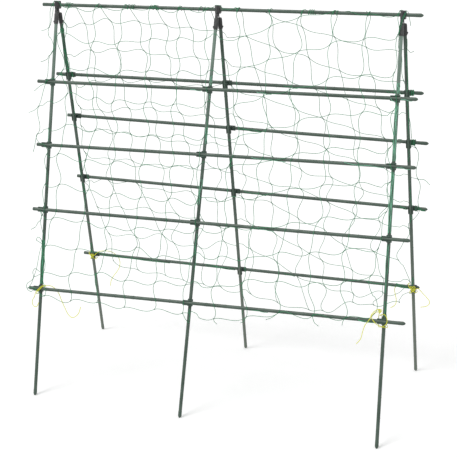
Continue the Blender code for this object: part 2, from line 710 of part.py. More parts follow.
front_panel = pivot("front_panel_pivot")
back_panel = pivot("back_panel_pivot")
ground = ground_cutter()
ridge_pole(front_panel)
for panel_side, panel_parent in ((FRONT, front_panel), (BACK, back_panel)):
    legs(panel_side, panel_parent, ground)
    rods(panel_side, panel_parent)
    cross_clips(panel_side, panel_parent)
    for frame_number in range(len(FRAMES)):
        top_fitting(panel_side, frame_number, panel_parent)
    net_half(panel_side, panel_parent)
front_ties(front_panel)
back_ties(back_panel)
bpy.context.view_layer.update()
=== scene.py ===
# %% [markdown]
# # Cucumber trellis
# A garden trellis: coated stakes pushed into moulded fittings make an A-frame,
# four rods cross each side in snap clips, a string net hangs over both sides,
# and four yellow cords lash the lowest rods to the outer legs. The imported CAD
# part gives every place and size. Here each piece gets its real shape and its
# finish, and all but the net ride on the body that carries them.

# %% Load the imported part
import math
import random

import bmesh
import bpy
from mathutils import Matrix, Vector


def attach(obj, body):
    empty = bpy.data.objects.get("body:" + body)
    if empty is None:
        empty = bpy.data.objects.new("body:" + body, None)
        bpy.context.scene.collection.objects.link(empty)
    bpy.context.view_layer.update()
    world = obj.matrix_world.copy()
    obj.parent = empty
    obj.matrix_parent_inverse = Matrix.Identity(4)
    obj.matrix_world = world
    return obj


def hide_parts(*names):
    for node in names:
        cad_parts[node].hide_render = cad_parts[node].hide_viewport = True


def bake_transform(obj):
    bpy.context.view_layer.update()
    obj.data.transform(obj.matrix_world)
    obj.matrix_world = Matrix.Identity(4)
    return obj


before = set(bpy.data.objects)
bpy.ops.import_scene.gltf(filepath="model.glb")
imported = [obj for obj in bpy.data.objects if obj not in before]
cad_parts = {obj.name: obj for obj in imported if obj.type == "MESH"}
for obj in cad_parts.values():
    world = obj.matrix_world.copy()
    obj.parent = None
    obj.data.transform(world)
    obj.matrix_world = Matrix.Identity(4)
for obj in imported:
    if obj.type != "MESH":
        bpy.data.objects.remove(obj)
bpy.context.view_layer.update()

# %% [markdown]
# ## The camera
# The photograph was taken from the front and a little to the right, from above
# the ridge, with a fairly long lens. The place and angles come from fitting the
# ends of the stakes in the photograph to the ends of the CAD stakes.

# %% Camera
camera_data = bpy.data.cameras.new("camera")
camera_data.sensor_width = 36.0
camera_data.lens = 87.2
camera = bpy.data.objects.new("camera", camera_data)
camera.location = (1.1261, -3.1491, 1.5077)
camera.rotation_euler = [math.radians(angle) for angle in (73.617, 0.190, 19.4575)]
bpy.context.scene.collection.objects.link(camera)
bpy.context.scene.camera = camera
print("camera at", tuple(camera.location))

# %% [markdown]
# ## The lines of the trellis
# Everything is placed from a few lines: the ridge, the two panels that hang from
# it, the legs that lean a little in them, and the rods that slope a little. These
# are the same named values as in the CAD source, so a crossing found here is the
# crossing that the CAD clip sits on.

# %% Sizes of the stakes and where they stand
STAKE_LENGTH = 1.200
STAKE_RADIUS = 0.0055
TIP_LENGTH = 0.0065
SPLAY = math.radians(13.75)
RIDGE = Vector((-0.0200, 0.0, 1.2034))
RIDGE_SHIFT = 0.013
LEG_TOP = 0.0400
ROD_STANDOFF = 0.01403
FRONT, BACK = -1, 1
SIDE_NAME = {FRONT: "front", BACK: "back"}
BODY = {FRONT: "front_panel", BACK: "back_panel"}
LEG_PITCH = 0.0054
HEAD_PITCH = 0.0077
FRAMES = (("left", -0.535), ("middle", 0.0), ("right", 0.556))
LEAN = {FRONT: (0.011, -0.019, 0.025), BACK: (-0.028, -0.011, 0.026)}
DROP = {FRONT: (0.239, 0.434, 0.639, 0.883), BACK: (0.240, 0.393, 0.619, 0.919)}
SLOPE = {FRONT: (-0.0055, -0.0113, -0.0095, -0.0229), BACK: (0.0025, 0.0149, 0.0127, -0.0040)}
SHIFT = {FRONT: (0.020, 0.032, 0.033, 0.039), BACK: (0.012, 0.027, 0.025, 0.001)}

# %% Points on the panels
def panel_axes(side):
    """Unit vectors down the panel and square out of it."""
    down = Vector((0.0, side * math.sin(SPLAY), -math.cos(SPLAY)))
    return down, Vector((0.0, side * math.cos(SPLAY), math.sin(SPLAY)))


def on_panel(side, x, drop, standoff=0.0):
    down, outward = panel_axes(side)
    return RIDGE + Vector((x, 0.0, 0.0)) + down * drop + outward * standoff


def leg_x(side, which):
    return FRAMES[which][1] + side * LEG_PITCH / 2


def leg_direction(side, which):
    return (panel_axes(side)[0] + Vector((LEAN[side][which], 0.0, 0.0))).normalized()


def rod_direction(side, rod):
    return (Vector((1.0, 0.0, 0.0)) + panel_axes(side)[0] * SLOPE[side][rod]).normalized()


def crossing(side, which, rod):
    """The leg's distance along X and down the panel where a rod crosses it."""
    lean, slope, start = LEAN[side][which], SLOPE[side][rod], leg_x(side, which)
    drop = (DROP[side][rod] + slope * start) / (1.0 - slope * lean)
    return start + lean * drop, drop


def leg_point(side, which, drop):
    return on_panel(side, leg_x(side, which) + LEAN[side][which] * drop, drop)


def rod_point(side, rod, x):
    return on_panel(side, x, DROP[side][rod] + SLOPE[side][rod] * x, ROD_STANDOFF)


def axes_matrix(origin, x_axis, z_axis):
    """A placement whose Z is z_axis and whose X is x_axis made square to it."""
    z_unit = z_axis.normalized()
    x_unit = (x_axis - z_unit * x_axis.dot(z_unit)).normalized()
    matrix = Matrix((x_unit, z_unit.cross(x_unit), z_unit)).transposed().to_4x4()
    matrix.translation = origin
    return matrix


print("front middle clip 2 at", [round(c, 3) for c in on_panel(FRONT, *crossing(FRONT, 1, 1))])

# %% [markdown]
# ## Free ends of the tie cords
# Each lashing ends in one or two free lengths of soft yellow cord. They leave the
# lashing straight, hang down under their own weight and curl at the end, because
# the cord remembers its reel. Each is a tube along a smooth curve through a few
# points, given sideways, outward and up from the crossing that it is tied round.

# %% Cord sizes and routes
CORD_DIAMETER = 0.0020
CORD_STEP = 0.0056
WIND_POINTS = 24
WIND_SQUARENESS = 3.0
OUTSIDE, CLOSE, INSIDE, INSIDE_OVER, BELOW_CLIP = 0.0158, 0.0146, -0.0158, -0.0182, 0.0032
TIE_CUT = 0.34
START_GAP = 0.0003

# Each lashing: its side, its leg, its half turns and where the last one stops
LASHINGS = {
    "tie_front_left": (FRONT, 0, (
        ((-0.0092, -0.0134), (0.0149, 0.0120), OUTSIDE),
        ((0.0149, 0.0120), (-0.0076, -0.0175), INSIDE),
        ((-0.0076, -0.0175), (0.0171, 0.0100), OUTSIDE)), 1.0 - TIE_CUT),
    "tie_front_right": (FRONT, 2, (
        ((-0.0110, -0.0170), (0.0110, -0.0165), BELOW_CLIP),
        ((0.0110, -0.0165), (-0.0110, 0.0160), INSIDE)), 1.0),
    "tie_back_left": (BACK, 0, (
        ((0.0080, -0.0120), (-0.0135, 0.0125), CLOSE),
        ((-0.0135, 0.0125), (0.0125, -0.0105), INSIDE),
        ((0.0125, -0.0105), (-0.0115, -0.0120), BELOW_CLIP),
        ((-0.0115, -0.0120), (0.0145, 0.0110), INSIDE_OVER)), 1.0 - TIE_CUT),
    "tie_back_right": (BACK, 2, (
        ((-0.0260, -0.0040), (-0.0150, 0.0125), OUTSIDE),
        ((-0.0150, 0.0125), (0.0125, -0.0105), INSIDE),
        ((0.0125, -0.0105), (-0.0115, -0.0120), BELOW_CLIP),
        ((-0.0115, -0.0120), (0.0145, 0.0110), INSIDE_OVER)), 1.0 - TIE_CUT),
}

TAILS = {
    "tie_front_left_tail_long": ("tie_front_left", "last", (
        (0.0235, 0.0165, 0.0145), (0.0335, 0.0105, 0.0165), (0.0445, 0.0070, 0.0125),
        (0.0545, 0.0055, 0.0055), (0.0615, 0.0055, -0.0030), (0.067, 0.0065, -0.0100),
        (0.0755, 0.0080, -0.0295), (0.085, 0.0090, -0.0500), (0.097, 0.0095, -0.0730),
        (0.1125, 0.0100, -0.0825), (0.1325, 0.0100, -0.0685), (0.1435, 0.0100, -0.0425))),
    "tie_front_left_tail_short": ("tie_front_left", "first", (
        (-0.0140, 0.0195, -0.0225), (-0.0210, 0.0190, -0.0335), (-0.0238, 0.0190, -0.0450),
        (-0.0190, 0.0195, -0.0560), (-0.0075, 0.0200, -0.0560), (-0.0005, 0.0200, -0.0420))),
    "tie_front_right_tail_long": ("tie_front_right", "first", (
        (-0.0140, 0.0075, -0.0110), (-0.0160, 0.0035, 0.0015), (-0.0155, 0.0035, 0.0140),
        (-0.0130, 0.0085, 0.0265), (-0.0085, 0.0145, 0.0360), (-0.0110, 0.0195, 0.0420),
        (-0.0200, 0.0215, 0.0385), (-0.0310, 0.0240, 0.0275), (-0.0355, 0.0265, 0.0135),
        (-0.0425, 0.0280, 0.0015), (-0.0490, 0.0300, -0.0075), (-0.0550, 0.0325, -0.0290),
        (-0.0570, 0.0325, -0.0400), (-0.0615, 0.0320, -0.0535), (-0.0725, 0.0315, -0.0675))),
    "tie_front_right_loop": ("tie_front_right", "last", (
        (-0.0055, 0.0110, 0.0235), (0.0015, 0.0120, 0.0250), (0.0080, 0.0140, 0.0195),
        (0.0120, 0.0180, 0.0105), (0.0118, 0.0222, 0.0030), (0.0085, 0.0218, -0.0032),
        (0.0045, 0.0190, -0.0075),
        (-0.0010, 0.0160, -0.0105), (-0.0120, 0.0180, -0.0085), (-0.0200, 0.0245, -0.0005),
        (-0.0295, 0.0235, 0.0095), (-0.0335, 0.0225, 0.0165), (-0.0295, 0.0200, 0.0245),
        (-0.0205, 0.0175, 0.0310), (-0.0130, 0.0180, 0.0330))),
    "tie_back_left_tail": ("tie_back_left", "last", (
        (0.0200, -0.0060, 0.0150), (0.0290, 0.0010, 0.0190), (0.0420, 0.0140, 0.0175),
        (0.0590, 0.0250, 0.0130), (0.0760, 0.0270, 0.0040), (0.0880, 0.0255, -0.0070),
        (0.0940, 0.0225, -0.0215), (0.0920, 0.0200, -0.0395), (0.0820, 0.0200, -0.0570),
        (0.0675, 0.0200, -0.0760), (0.0575, 0.0200, -0.0960), (0.0545, 0.0200, -0.1140))),
    "tie_back_right_tail_outer": ("tie_back_right", "last", (
        (0.0170, -0.0090, 0.0085), (0.0225, -0.0050, 0.0020), (0.0325, -0.0025, -0.0095),
        (0.0445, -0.0020, -0.0215), (0.0535, -0.0020, -0.0320), (0.0545, -0.0020, -0.0415),
        (0.0450, -0.0020, -0.0520), (0.0265, -0.0020, -0.0570))),
    "tie_back_right_tail_inner": ("tie_back_right", "first", (
        (-0.0285, 0.0250, 0.0025), (-0.0440, 0.0255, 0.0005), (-0.0585, 0.0230, -0.0040),
        (-0.0640, 0.0200, -0.0125), (-0.0610, 0.0190, -0.0290), (-0.0565, 0.0185, -0.0490),
        (-0.0595, 0.0185, -0.0665), (-0.0740, 0.0185, -0.0785))),
}
print(len(LASHINGS), "lashings with", len(TAILS), "free ends")

# %% The path of a lashing
def half_turn(centre, side, start, end, bulge, shares):
    """Points of a half turn between two corners, from one share of it to another."""
    down, outward = panel_axes(side)
    steps = round((shares[1] - shares[0]) * WIND_POINTS / 2)
    power = 2.0 / WIND_SQUARENESS
    points = []
    for step in range(steps + 1):
        turn = math.pi * (shares[0] + (shares[1] - shares[0]) * step / steps)
        width = math.copysign(abs(math.cos(turn)) ** power, math.cos(turn))
        sideways = (start[0] + end[0]) / 2 + (start[0] - end[0]) / 2 * width
        up = (start[1] + end[1]) / 2 + (start[1] - end[1]) / 2 * width
        depth = bulge * abs(math.sin(turn)) ** power
        points.append(centre + Vector((sideways, 0.0, 0.0)) - down * up + outward * depth)
    return points


def lashing_path(side, which, turns, last_share):
    """Points of a cord wound in half turns round a leg and the lowest rod."""
    x, drop = crossing(side, which, len(DROP[side]) - 1)
    centre = on_panel(side, x, drop, ROD_STANDOFF / 2)
    points = []
    for i, (start, end, bulge) in enumerate(turns):
        shares = (TIE_CUT if i == 0 else 0.0, last_share if i == len(turns) - 1 else 1.0)
        points += half_turn(centre, side, start, end, bulge, shares)[min(i, 1):]
    start_way = (points[0] - points[1]).normalized()
    end_way = (points[-1] - points[-2]).normalized()
    points.insert(0, points[0] + start_way * CORD_DIAMETER)
    points.append(points[-1] + end_way * CORD_DIAMETER)
    ends = {"first": (points[0], start_way), "last": (points[-1], end_way)}
    return points, ends, on_panel(side, x, drop)


# %% A smooth line through points
FINE_STEPS = 20


def smooth_line(points, step):
    """Evenly spaced points on a smooth curve through the points given."""
    ends = [2 * points[0] - points[1], *points, 2 * points[-1] - points[-2]]
    fine = []
    for i in range(1, len(ends) - 2):
        before, a, b, after = ends[i - 1], ends[i], ends[i + 1], ends[i + 2]
        for part in range(FINE_STEPS):
            t = part / FINE_STEPS
            fine.append(0.5 * (2 * a + (b - before) * t
                               + (2 * before - 5 * a + 4 * b - after) * t ** 2
                               + (3 * a - before - 3 * b + after) * t ** 3))
    fine.append(points[-1])
    lengths = [0.0]
    for a, b in zip(fine, fine[1:]):
        lengths.append(lengths[-1] + (b - a).length)
    parts = max(3, round(lengths[-1] / step))
    even, spot = [], 0
    for part in range(parts + 1):
        target = lengths[-1] * part / parts
        while spot < len(fine) - 2 and lengths[spot + 1] < target:
            spot += 1
        share = (target - lengths[spot]) / (lengths[spot + 1] - lengths[spot])
        even.append(fine[spot].lerp(fine[spot + 1], share))
    return even, lengths[-1]


# %% [markdown]
# A curve object with a round bevel is the simplest true tube. Turned into a mesh
# it keeps a UV map that runs along the cord and round it, and the twist of the
# yarn follows that map.

# %% Tubes along points
CORD_RESOLUTION = 3
STRING_RESOLUTION = 1


def tube_mesh(name, lines, radius, resolution):
    """One mesh of round tubes, one along each list of points, ends closed."""
    curve = bpy.data.curves.new(name, "CURVE")
    curve.dimensions = "3D"
    curve.bevel_depth = radius
    curve.bevel_resolution = resolution
    curve.use_fill_caps = True
    for line in lines:
        spline = curve.splines.new("POLY")
        spline.points.add(len(line) - 1)
        for spot, point in zip(spline.points, line):
            spot.co = (*point, 1.0)
            spot.radius = 1.0
    holder = bpy.data.objects.new(name, curve)
    bpy.context.scene.collection.objects.link(holder)
    bpy.context.view_layer.update()
    evaluated = holder.evaluated_get(bpy.context.evaluated_depsgraph_get())
    mesh = bpy.data.meshes.new_from_object(evaluated)
    mesh.name = name
    bpy.data.objects.remove(holder)
    bpy.data.curves.remove(curve)
    mesh.shade_smooth()
    return mesh


def mesh_piece(name, mesh, body, stands_for=()):
    """A finished piece at the origin that rides on a body, if one is given."""
    piece = bpy.data.objects.new(name, mesh)
    bpy.context.scene.collection.objects.link(piece)
    if body:
        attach(piece, body)
    if stands_for:
        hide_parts(*stands_for)
    return piece


# %% Make the lashings
# Every piece goes into the list of its finish
KINDS = ("cord", "stake", "leg_front", "leg_back", "clip_front", "clip_back",
         "fitting_front", "fitting_back", "net", "net_pale")
pieces = {kind: [] for kind in KINDS}
lashing_ends = {}
for name, (side, which, turns, last_share) in LASHINGS.items():
    points, ends, tied_at = lashing_path(side, which, turns, last_share)
    lashing_ends[name] = (side, ends, tied_at)
    mesh = tube_mesh(name + "_lashing", [points], CORD_DIAMETER / 2, CORD_RESOLUTION)
    pieces["cord"].append(mesh_piece(name + "_lashing", mesh, BODY[side], [name]))
    print(name, len(mesh.polygons), "faces")

# %% Make the free ends
for name, (lashing, which_end, offsets) in TAILS.items():
    side, ends, tied_at = lashing_ends[lashing]
    point, way = ends[which_end]
    start = point + way * START_GAP
    route = [point + way * 2 * CORD_DIAMETER]
    route += [tied_at + Vector((sideways, side * outward, up))
              for sideways, outward, up in offsets]
    even, length = smooth_line(route, CORD_STEP)
    path = [start, *even]
    length += (route[0] - start).length
    mesh = tube_mesh(name + "_cord", [path], CORD_DIAMETER / 2, CORD_RESOLUTION)
    piece = mesh_piece(name + "_cord", mesh, BODY[side], [name])
    pieces["cord"].append(piece)
    print(name, round(length * 1000), "mm")

# %% [markdown]
# ## The knots of the ties
# Three ties end in a small overhand knot. At the front right the short end goes
# round and is tied to the long one, and behind, the knots sit on the lashings. A
# trefoil curve is an overhand knot with its ends joined, so a tube along one,
# thirteen to eighteen millimetres across, looks like the real knot.

# %% Overhand knots
KNOT_STEPS = 48

# Each knot: how far sideways, outward and up from the crossing, and its size
KNOTS = {"tie_front_right": (-0.0100, 0.0175, 0.0355, 0.0020),
         "tie_back_left": (0.0040, -0.0150, 0.0060, 0.0022),
         "tie_back_right": (0.0005, -0.0150, 0.0080, 0.0030)}


def overhand_knot(middle, size):
    """Points of a closed trefoil curve about a place."""
    points = []
    for step in range(KNOT_STEPS + 1):
        angle = 2 * math.pi * step / KNOT_STEPS
        points.append(middle + size * Vector((
            math.sin(angle) + 2 * math.sin(2 * angle),
            -0.75 * math.sin(3 * angle),
            math.cos(angle) - 2 * math.cos(2 * angle))))
    return points


tie_knots = {}
for tie, (sideways, outward, up, size) in KNOTS.items():
    side, ends, tied_at = lashing_ends[tie]
    points = overhand_knot(tied_at + Vector((sideways, side * outward, up)), size)
    mesh = tube_mesh(tie + "_knot", [points], CORD_DIAMETER / 2, CORD_RESOLUTION)
    tie_knots[tie] = mesh_piece(tie + "_knot", mesh, BODY[side])
    pieces["cord"].append(tie_knots[tie])
    print(tie, "knot of", len(mesh.polygons), "faces")

# %% [markdown]
# ## Shapes turned about an axis
# Stakes, sleeves and the small studs on them are all round. A few vertices drawn
# as a half outline are spun round the axis in one call, which is how such parts
# are turned on a lathe. Doubles at the poles are merged, and the normals are then
# made to point outwards. Moulded pieces have no knife edges, so where two of their
# faces meet at more than about a radian, a small bevel rounds the edge. Edges and
# faces are gathered as the keys of a dict, which keeps each of them once.

# %% Clean and round what was added last
MERGE_WITHIN = 1e-6
HARD_ANGLE = 1.0


def added_to(shape, before):
    return [vert for vert in shape.verts if vert not in before]


def cleaned(shape, before):
    """The new vertices, with doubles merged and their faces turned outwards."""
    bmesh.ops.remove_doubles(shape, verts=added_to(shape, before), dist=MERGE_WITHIN)
    new = added_to(shape, before)
    faces = dict.fromkeys(face for vert in new for face in vert.link_faces)
    bmesh.ops.recalc_face_normals(shape, faces=list(faces))
    return new


def round_hard_edges(shape, verts, offset):
    """Bevels the edges of these vertices where two faces meet at a hard angle."""
    edges = dict.fromkeys(edge for vert in verts for edge in vert.link_edges)
    hard = [edge for edge in edges
            if len(edge.link_faces) == 2 and edge.calc_face_angle() > HARD_ANGLE]
    bmesh.ops.bevel(shape, geom=hard, offset=offset, affect="EDGES", segments=2,
                    profile=0.5, material=-1)


# %% Turn an outline on a lathe
def spun(shape, outline, steps, matrix, closed=False):
    """Adds an outline of (radius, height) points turned about Z, then placed."""
    before = set(shape.verts)
    spots = [shape.verts.new((radius, 0.0, height)) for radius, height in outline]
    pairs = list(zip(spots, spots[1:])) + ([(spots[-1], spots[0])] if closed else [])
    lines = [shape.edges.new(pair) for pair in pairs]
    bmesh.ops.spin(shape, geom=spots + lines, cent=(0.0, 0.0, 0.0),
                   axis=(0.0, 0.0, 1.0), angle=2 * math.pi, steps=steps, use_merge=True)
    bmesh.ops.transform(shape, matrix=matrix, verts=cleaned(shape, before))


def shape_mesh(shape, name, smooth_below=38.0):
    mesh = bpy.data.meshes.new(name)
    shape.to_mesh(mesh)
    shape.free()
    mesh.shade_smooth()
    mesh.set_sharp_from_angle(angle=math.radians(smooth_below))
    return mesh


# %% [markdown]
# ## Garden stakes
# Each stake is a thin steel tube in a green plastic coat. The coat has rows of
# small raised pips, so that a plant or a tie does not slide, and a moulded cap on
# each end: a flat one, and a blunt point. There are hundreds of pips, so each is
# a plain little ball of twenty faces, half sunk in the coat. Where a clip, a
# sleeve or a fitting's head grips the stake, the pips are left out, since they
# would be hidden there.

# %% One stake
STAKE_STEPS = 28
CAP_RISE = 0.00025
CAP_LENGTH = 0.015
PIP_PITCH = 0.030
PIP_SIZE = (0.00042, 0.00115, 0.0024)


def stake_piece(name, start, direction, body, gripped, seed, stands=False):
    """A stake from its flat cap to its pointed one; a leg is cut level with the ground."""
    shape = bmesh.new()
    radius, rise, cap, end = STAKE_RADIUS, CAP_RISE, CAP_LENGTH, STAKE_LENGTH
    tip = end - TIP_LENGTH
    outline = (
        (0.0, 0.0), (radius - 0.0011, 0.0), (radius - 0.0004, -0.0003),
        (radius, -0.0011), (radius, -cap), (radius - rise, -cap - 0.0003),
        (radius - rise, cap - tip), (radius, cap - tip - 0.0003), (radius, 0.0008 - tip),
        (radius * 0.965, -tip - 0.0003), (radius * 0.80, -tip - 0.0026),
        (0.0023, -end + 0.0007), (0.0016, -end + 0.0001), (0.0, -end))
    frame_matrix = axes_matrix(start, Vector((0.0, 1.0, 0.0)), -direction)
    spun(shape, outline, STAKE_STEPS, frame_matrix)
    draw = random.Random(seed)
    turn_start = draw.uniform(0.0, math.pi)
    rows = int((tip - 2 * cap) / PIP_PITCH)
    pips = 0
    for row in range(rows):
        along = cap + PIP_PITCH * (row + 0.5)
        if any(abs(along - middle) < half for middle, half in gripped):
            continue
        for side_turn in range(2):
            turn = turn_start + math.pi * side_turn + math.pi / 2 * (row % 2)
            matrix = (frame_matrix @ Matrix.Rotation(turn, 4, "Z")
                      @ Matrix.Translation((radius - rise, 0.0, -along))
                      @ Matrix.Diagonal((*PIP_SIZE, 1.0)))
            bmesh.ops.create_icosphere(shape, subdivisions=1, radius=1.0, matrix=matrix)
            pips += 1
    if stands:
        cut = bmesh.ops.bisect_plane(
            shape, geom=shape.verts[:] + shape.edges[:] + shape.faces[:], plane_co=(0, 0, 0),
            plane_no=(0.0, 0.0, -1.0), clear_outer=True)["geom_cut"]
        rim = [part for part in cut if isinstance(part, bmesh.types.BMEdge)]
        bmesh.ops.holes_fill(shape, edges=rim)
    return mesh_piece("stake_" + name, shape_mesh(shape, name), body,
                      [name]), pips


# %% The ridge pole, the legs and the rods
# Half the length of stake that a pair of heads or a collar hides, and the middle
# and the half of what a sleeve hides
HEADS_HIDE = 0.013
LEG_COLLAR_HIDES = 0.0155
ROD_COLLAR_HIDES = 0.020
IN_SLEEVE = (0.009, 0.016)

# Each stake's pips start at an angle of their own
POLE_SEED, LEG_SEED, ROD_SEED = 1, 10, 30
count = 0
grips = [(middle + STAKE_LENGTH / 2 - RIDGE_SHIFT, HEADS_HIDE) for _, middle in FRAMES]
piece, pips = stake_piece(
    "ridge_pole", RIDGE + Vector((RIDGE_SHIFT - STAKE_LENGTH / 2, 0.0, 0.0)),
    Vector((1.0, 0.0, 0.0)), BODY[FRONT], grips, POLE_SEED)
pieces["stake"].append(piece)
count += pips
for side in (FRONT, BACK):
    for which, (label, _) in enumerate(FRAMES):
        along = math.hypot(1.0, LEAN[side][which])
        grips = [IN_SLEEVE] + [((crossing(side, which, rod)[1] - LEG_TOP) * along, LEG_COLLAR_HIDES)
                               for rod in range(4)]
        piece, pips = stake_piece(
            f"{SIDE_NAME[side]}_leg_{label}", leg_point(side, which, LEG_TOP),
            leg_direction(side, which), BODY[side], grips, LEG_SEED + 3 * side + which,
            stands=True)
        pieces["leg_" + SIDE_NAME[side]].append(piece)
        count += pips
    for rod in range(4):
        direction = rod_direction(side, rod)
        shift = SHIFT[side][rod]
        start = rod_point(side, rod, shift) - direction * STAKE_LENGTH / 2
        grips = [(crossing(side, which, rod)[0] - shift + STAKE_LENGTH / 2, ROD_COLLAR_HIDES)
                 for which in range(3)]
        piece, pips = stake_piece(f"{SIDE_NAME[side]}_rod_{rod + 1}", start, direction,
                                  BODY[side], grips, ROD_SEED + 5 * side + rod)
        pieces["stake"].append(piece)
        count += pips
print(sum(len(pieces[kind]) for kind in ("stake", "leg_front", "leg_back")), "stakes with",
      count, "pips")

# %% [markdown]
# ## Snap clips
# A clip is two open collars back to back, turned a quarter to each other: one
# snaps on the leg from inside, the other holds the rod outside it. Spinning one
# rectangle most of the way round makes an open collar with its two lips, a bevel
# rounds every hard edge, and a short moulded pad joins the pair. One rod collar is
# cut short on its right, where the tip of the lowest back rod just comes through.

# %% An open collar
CLIP_BORE = 0.00595
CLIP_WALL = 0.0022
CLIP_MOUTH = math.radians(100.0)
CLIP_STEPS = 18
COLLAR_ROUND = 0.000495
LEG_COLLAR = {FRONT: 0.0215, BACK: 0.0250}
ROD_COLLAR_LONG = 0.018
ROD_COLLAR_SHORT = 0.009
NEAR_THE_TIP = (BACK, 2, 3)


def open_collar(shape, low, high, matrix):
    """Adds a C-shaped collar about its own Z axis, its mouth towards +X."""
    before = set(shape.verts)
    made = bmesh.ops.create_grid(shape, x_segments=1, y_segments=1, size=0.5)
    upright = Matrix.Rotation(math.pi / 2, 4, "X")
    stretch = Matrix.Diagonal((CLIP_WALL, 1.0, high - low, 1.0))
    place = Matrix.Translation((CLIP_BORE + CLIP_WALL / 2, 0.0, (low + high) / 2))
    turn = Matrix.Rotation(CLIP_MOUTH / 2, 4, "Z")
    bmesh.ops.transform(shape, matrix=turn @ place @ stretch @ upright, verts=made["verts"])
    bmesh.ops.spin(shape, geom=made["verts"][0].link_faces[:], cent=(0.0, 0.0, 0.0),
                   axis=(0.0, 0.0, 1.0), angle=2 * math.pi - CLIP_MOUTH, steps=CLIP_STEPS,
                   use_merge=False)
    round_hard_edges(shape, cleaned(shape, before), COLLAR_ROUND)
    bmesh.ops.transform(shape, matrix=matrix, verts=added_to(shape, before))


# %% A whole clip
PAD_SIZE = (0.0088, 0.0088, 0.0050)
PAD_ROUND = 0.0009


def clip_piece(side, which, rod):
    label = FRAMES[which][0]
    name = f"{SIDE_NAME[side]}_clip_{label}_{rod + 1}"
    x, drop = crossing(side, which, rod)
    outward = panel_axes(side)[1]
    shape = bmesh.new()
    leg_place = axes_matrix(on_panel(side, x, drop), -outward, -leg_direction(side, which))
    open_collar(shape, -LEG_COLLAR[side] / 2, LEG_COLLAR[side] / 2, leg_place)
    rod_place = axes_matrix(on_panel(side, x, drop, ROD_STANDOFF), outward,
                            rod_direction(side, rod))
    left, right = ((ROD_COLLAR_LONG, ROD_COLLAR_SHORT) if side == FRONT
                   else (ROD_COLLAR_SHORT, ROD_COLLAR_LONG))
    if (side, which, rod) == NEAR_THE_TIP:
        right = ROD_COLLAR_SHORT
    open_collar(shape, -left, right, rod_place)
    pad = bmesh.ops.create_cube(shape, size=1.0)["verts"]
    pad_place = axes_matrix(on_panel(side, x, drop, ROD_STANDOFF / 2),
                            Vector((1.0, 0.0, 0.0)), outward)
    bmesh.ops.transform(shape, matrix=pad_place @ Matrix.Diagonal((*PAD_SIZE, 1.0)), verts=pad)
    round_hard_edges(shape, pad, PAD_ROUND)
    return mesh_piece("snap_" + name, shape_mesh(shape, name), BODY[side],
                      [name])


# %% Make the clips
for side in (FRONT, BACK):
    for which in range(3):
        for rod in range(4):
            # Back clips get the darker copy of the clip plastic: painted shade.
            pieces["clip_" + SIDE_NAME[side]].append(clip_piece(side, which, rod))
print("clips of", len(pieces["clip_front"][0].data.polygons), "faces each")

# %% [markdown]
# ## Top fittings
# Each leg ends in a black moulded fitting: a head that turns on the ridge pole, a
# narrow neck, and a sleeve that the stake is pushed into. Two stand side by side
# on the pole and let the panels open. The head is a rounded block with a hole: two
# rings of vertices are bridged, extruded and bevelled. The sleeve is turned.

# %% Sizes of the fittings
HEAD_WIDTH = 0.0074
HEAD_DEPTH = 0.0170
HEAD_RISE = 0.0120
HEAD_ROUND = 0.0020
HEAD_BORE = 0.0059
SLEEVE_TOP = 0.0255
SLEEVE_LENGTH = 0.034
SLEEVE_BORE = 0.0060
SLEEVE_OUTER = 0.0069
SLEEVE_BORE_TOP = 0.0397
SLEEVE_SHOULDER = 0.0035
HEAD_EDGE = 0.0007
NECK_EDGE = 0.0008
NECK = {FRONT: {"width": 0.0072, "depth": 0.0100, "inset": 0.0010, "shift": 0.0},
        BACK: {"width": 0.0024, "depth": 0.0050, "inset": 0.0035, "shift": -0.0022}}
LUG_RADIUS = 0.0036
LUG_HEIGHT = 0.0022
LUG_FROM_MOUTH = 0.0070
LUG_STEPS = 16
FITTING_STEPS = 32
HEAD_STEPS = 48

# %% The head
def rounded_outline(way):
    """Where a line from the middle, along a unit vector, leaves the head's outline."""
    half = Vector((HEAD_DEPTH / 2, HEAD_RISE))
    straight = Vector((abs(way.x), abs(way.y)))
    reach = min(half[i] / max(straight[i], 1e-9) for i in range(2))
    core = half - Vector((HEAD_ROUND, HEAD_ROUND))
    spot = straight * reach
    if spot.x > core.x and spot.y > core.y:
        along = straight.dot(core)
        reach = along + math.sqrt(along ** 2 - core.length_squared + HEAD_ROUND ** 2)
    return way * reach


def add_head(shape, side, which):
    """The rounded block that the ridge pole runs through."""
    before = set(shape.verts)
    inner = bmesh.ops.create_circle(shape, segments=HEAD_STEPS, radius=HEAD_BORE)["verts"]
    outer = bmesh.ops.create_circle(shape, segments=HEAD_STEPS, radius=1.0)["verts"]
    for vert in outer:
        spot = rounded_outline(vert.co.xy.normalized())
        vert.co = (spot.x, spot.y, 0.0)
    rims = dict.fromkeys(edge for vert in inner + outer for edge in vert.link_edges)
    faces = bmesh.ops.bridge_loops(shape, edges=list(rims))["faces"]
    extruded = bmesh.ops.extrude_face_region(shape, geom=faces)
    raised = [part for part in extruded["geom"] if isinstance(part, bmesh.types.BMVert)]
    bmesh.ops.translate(shape, verts=raised, vec=(0.0, 0.0, HEAD_WIDTH))
    new = cleaned(shape, before)
    bmesh.ops.translate(shape, verts=new, vec=(0.0, 0.0, -HEAD_WIDTH / 2))
    round_hard_edges(shape, new, HEAD_EDGE)
    centre = RIDGE + Vector((FRAMES[which][1] + side * HEAD_PITCH / 2, 0.0, 0.0))
    place = axes_matrix(centre, Vector((0.0, side, 0.0)), Vector((1.0, 0.0, 0.0)))
    bmesh.ops.transform(shape, matrix=place, verts=added_to(shape, before))


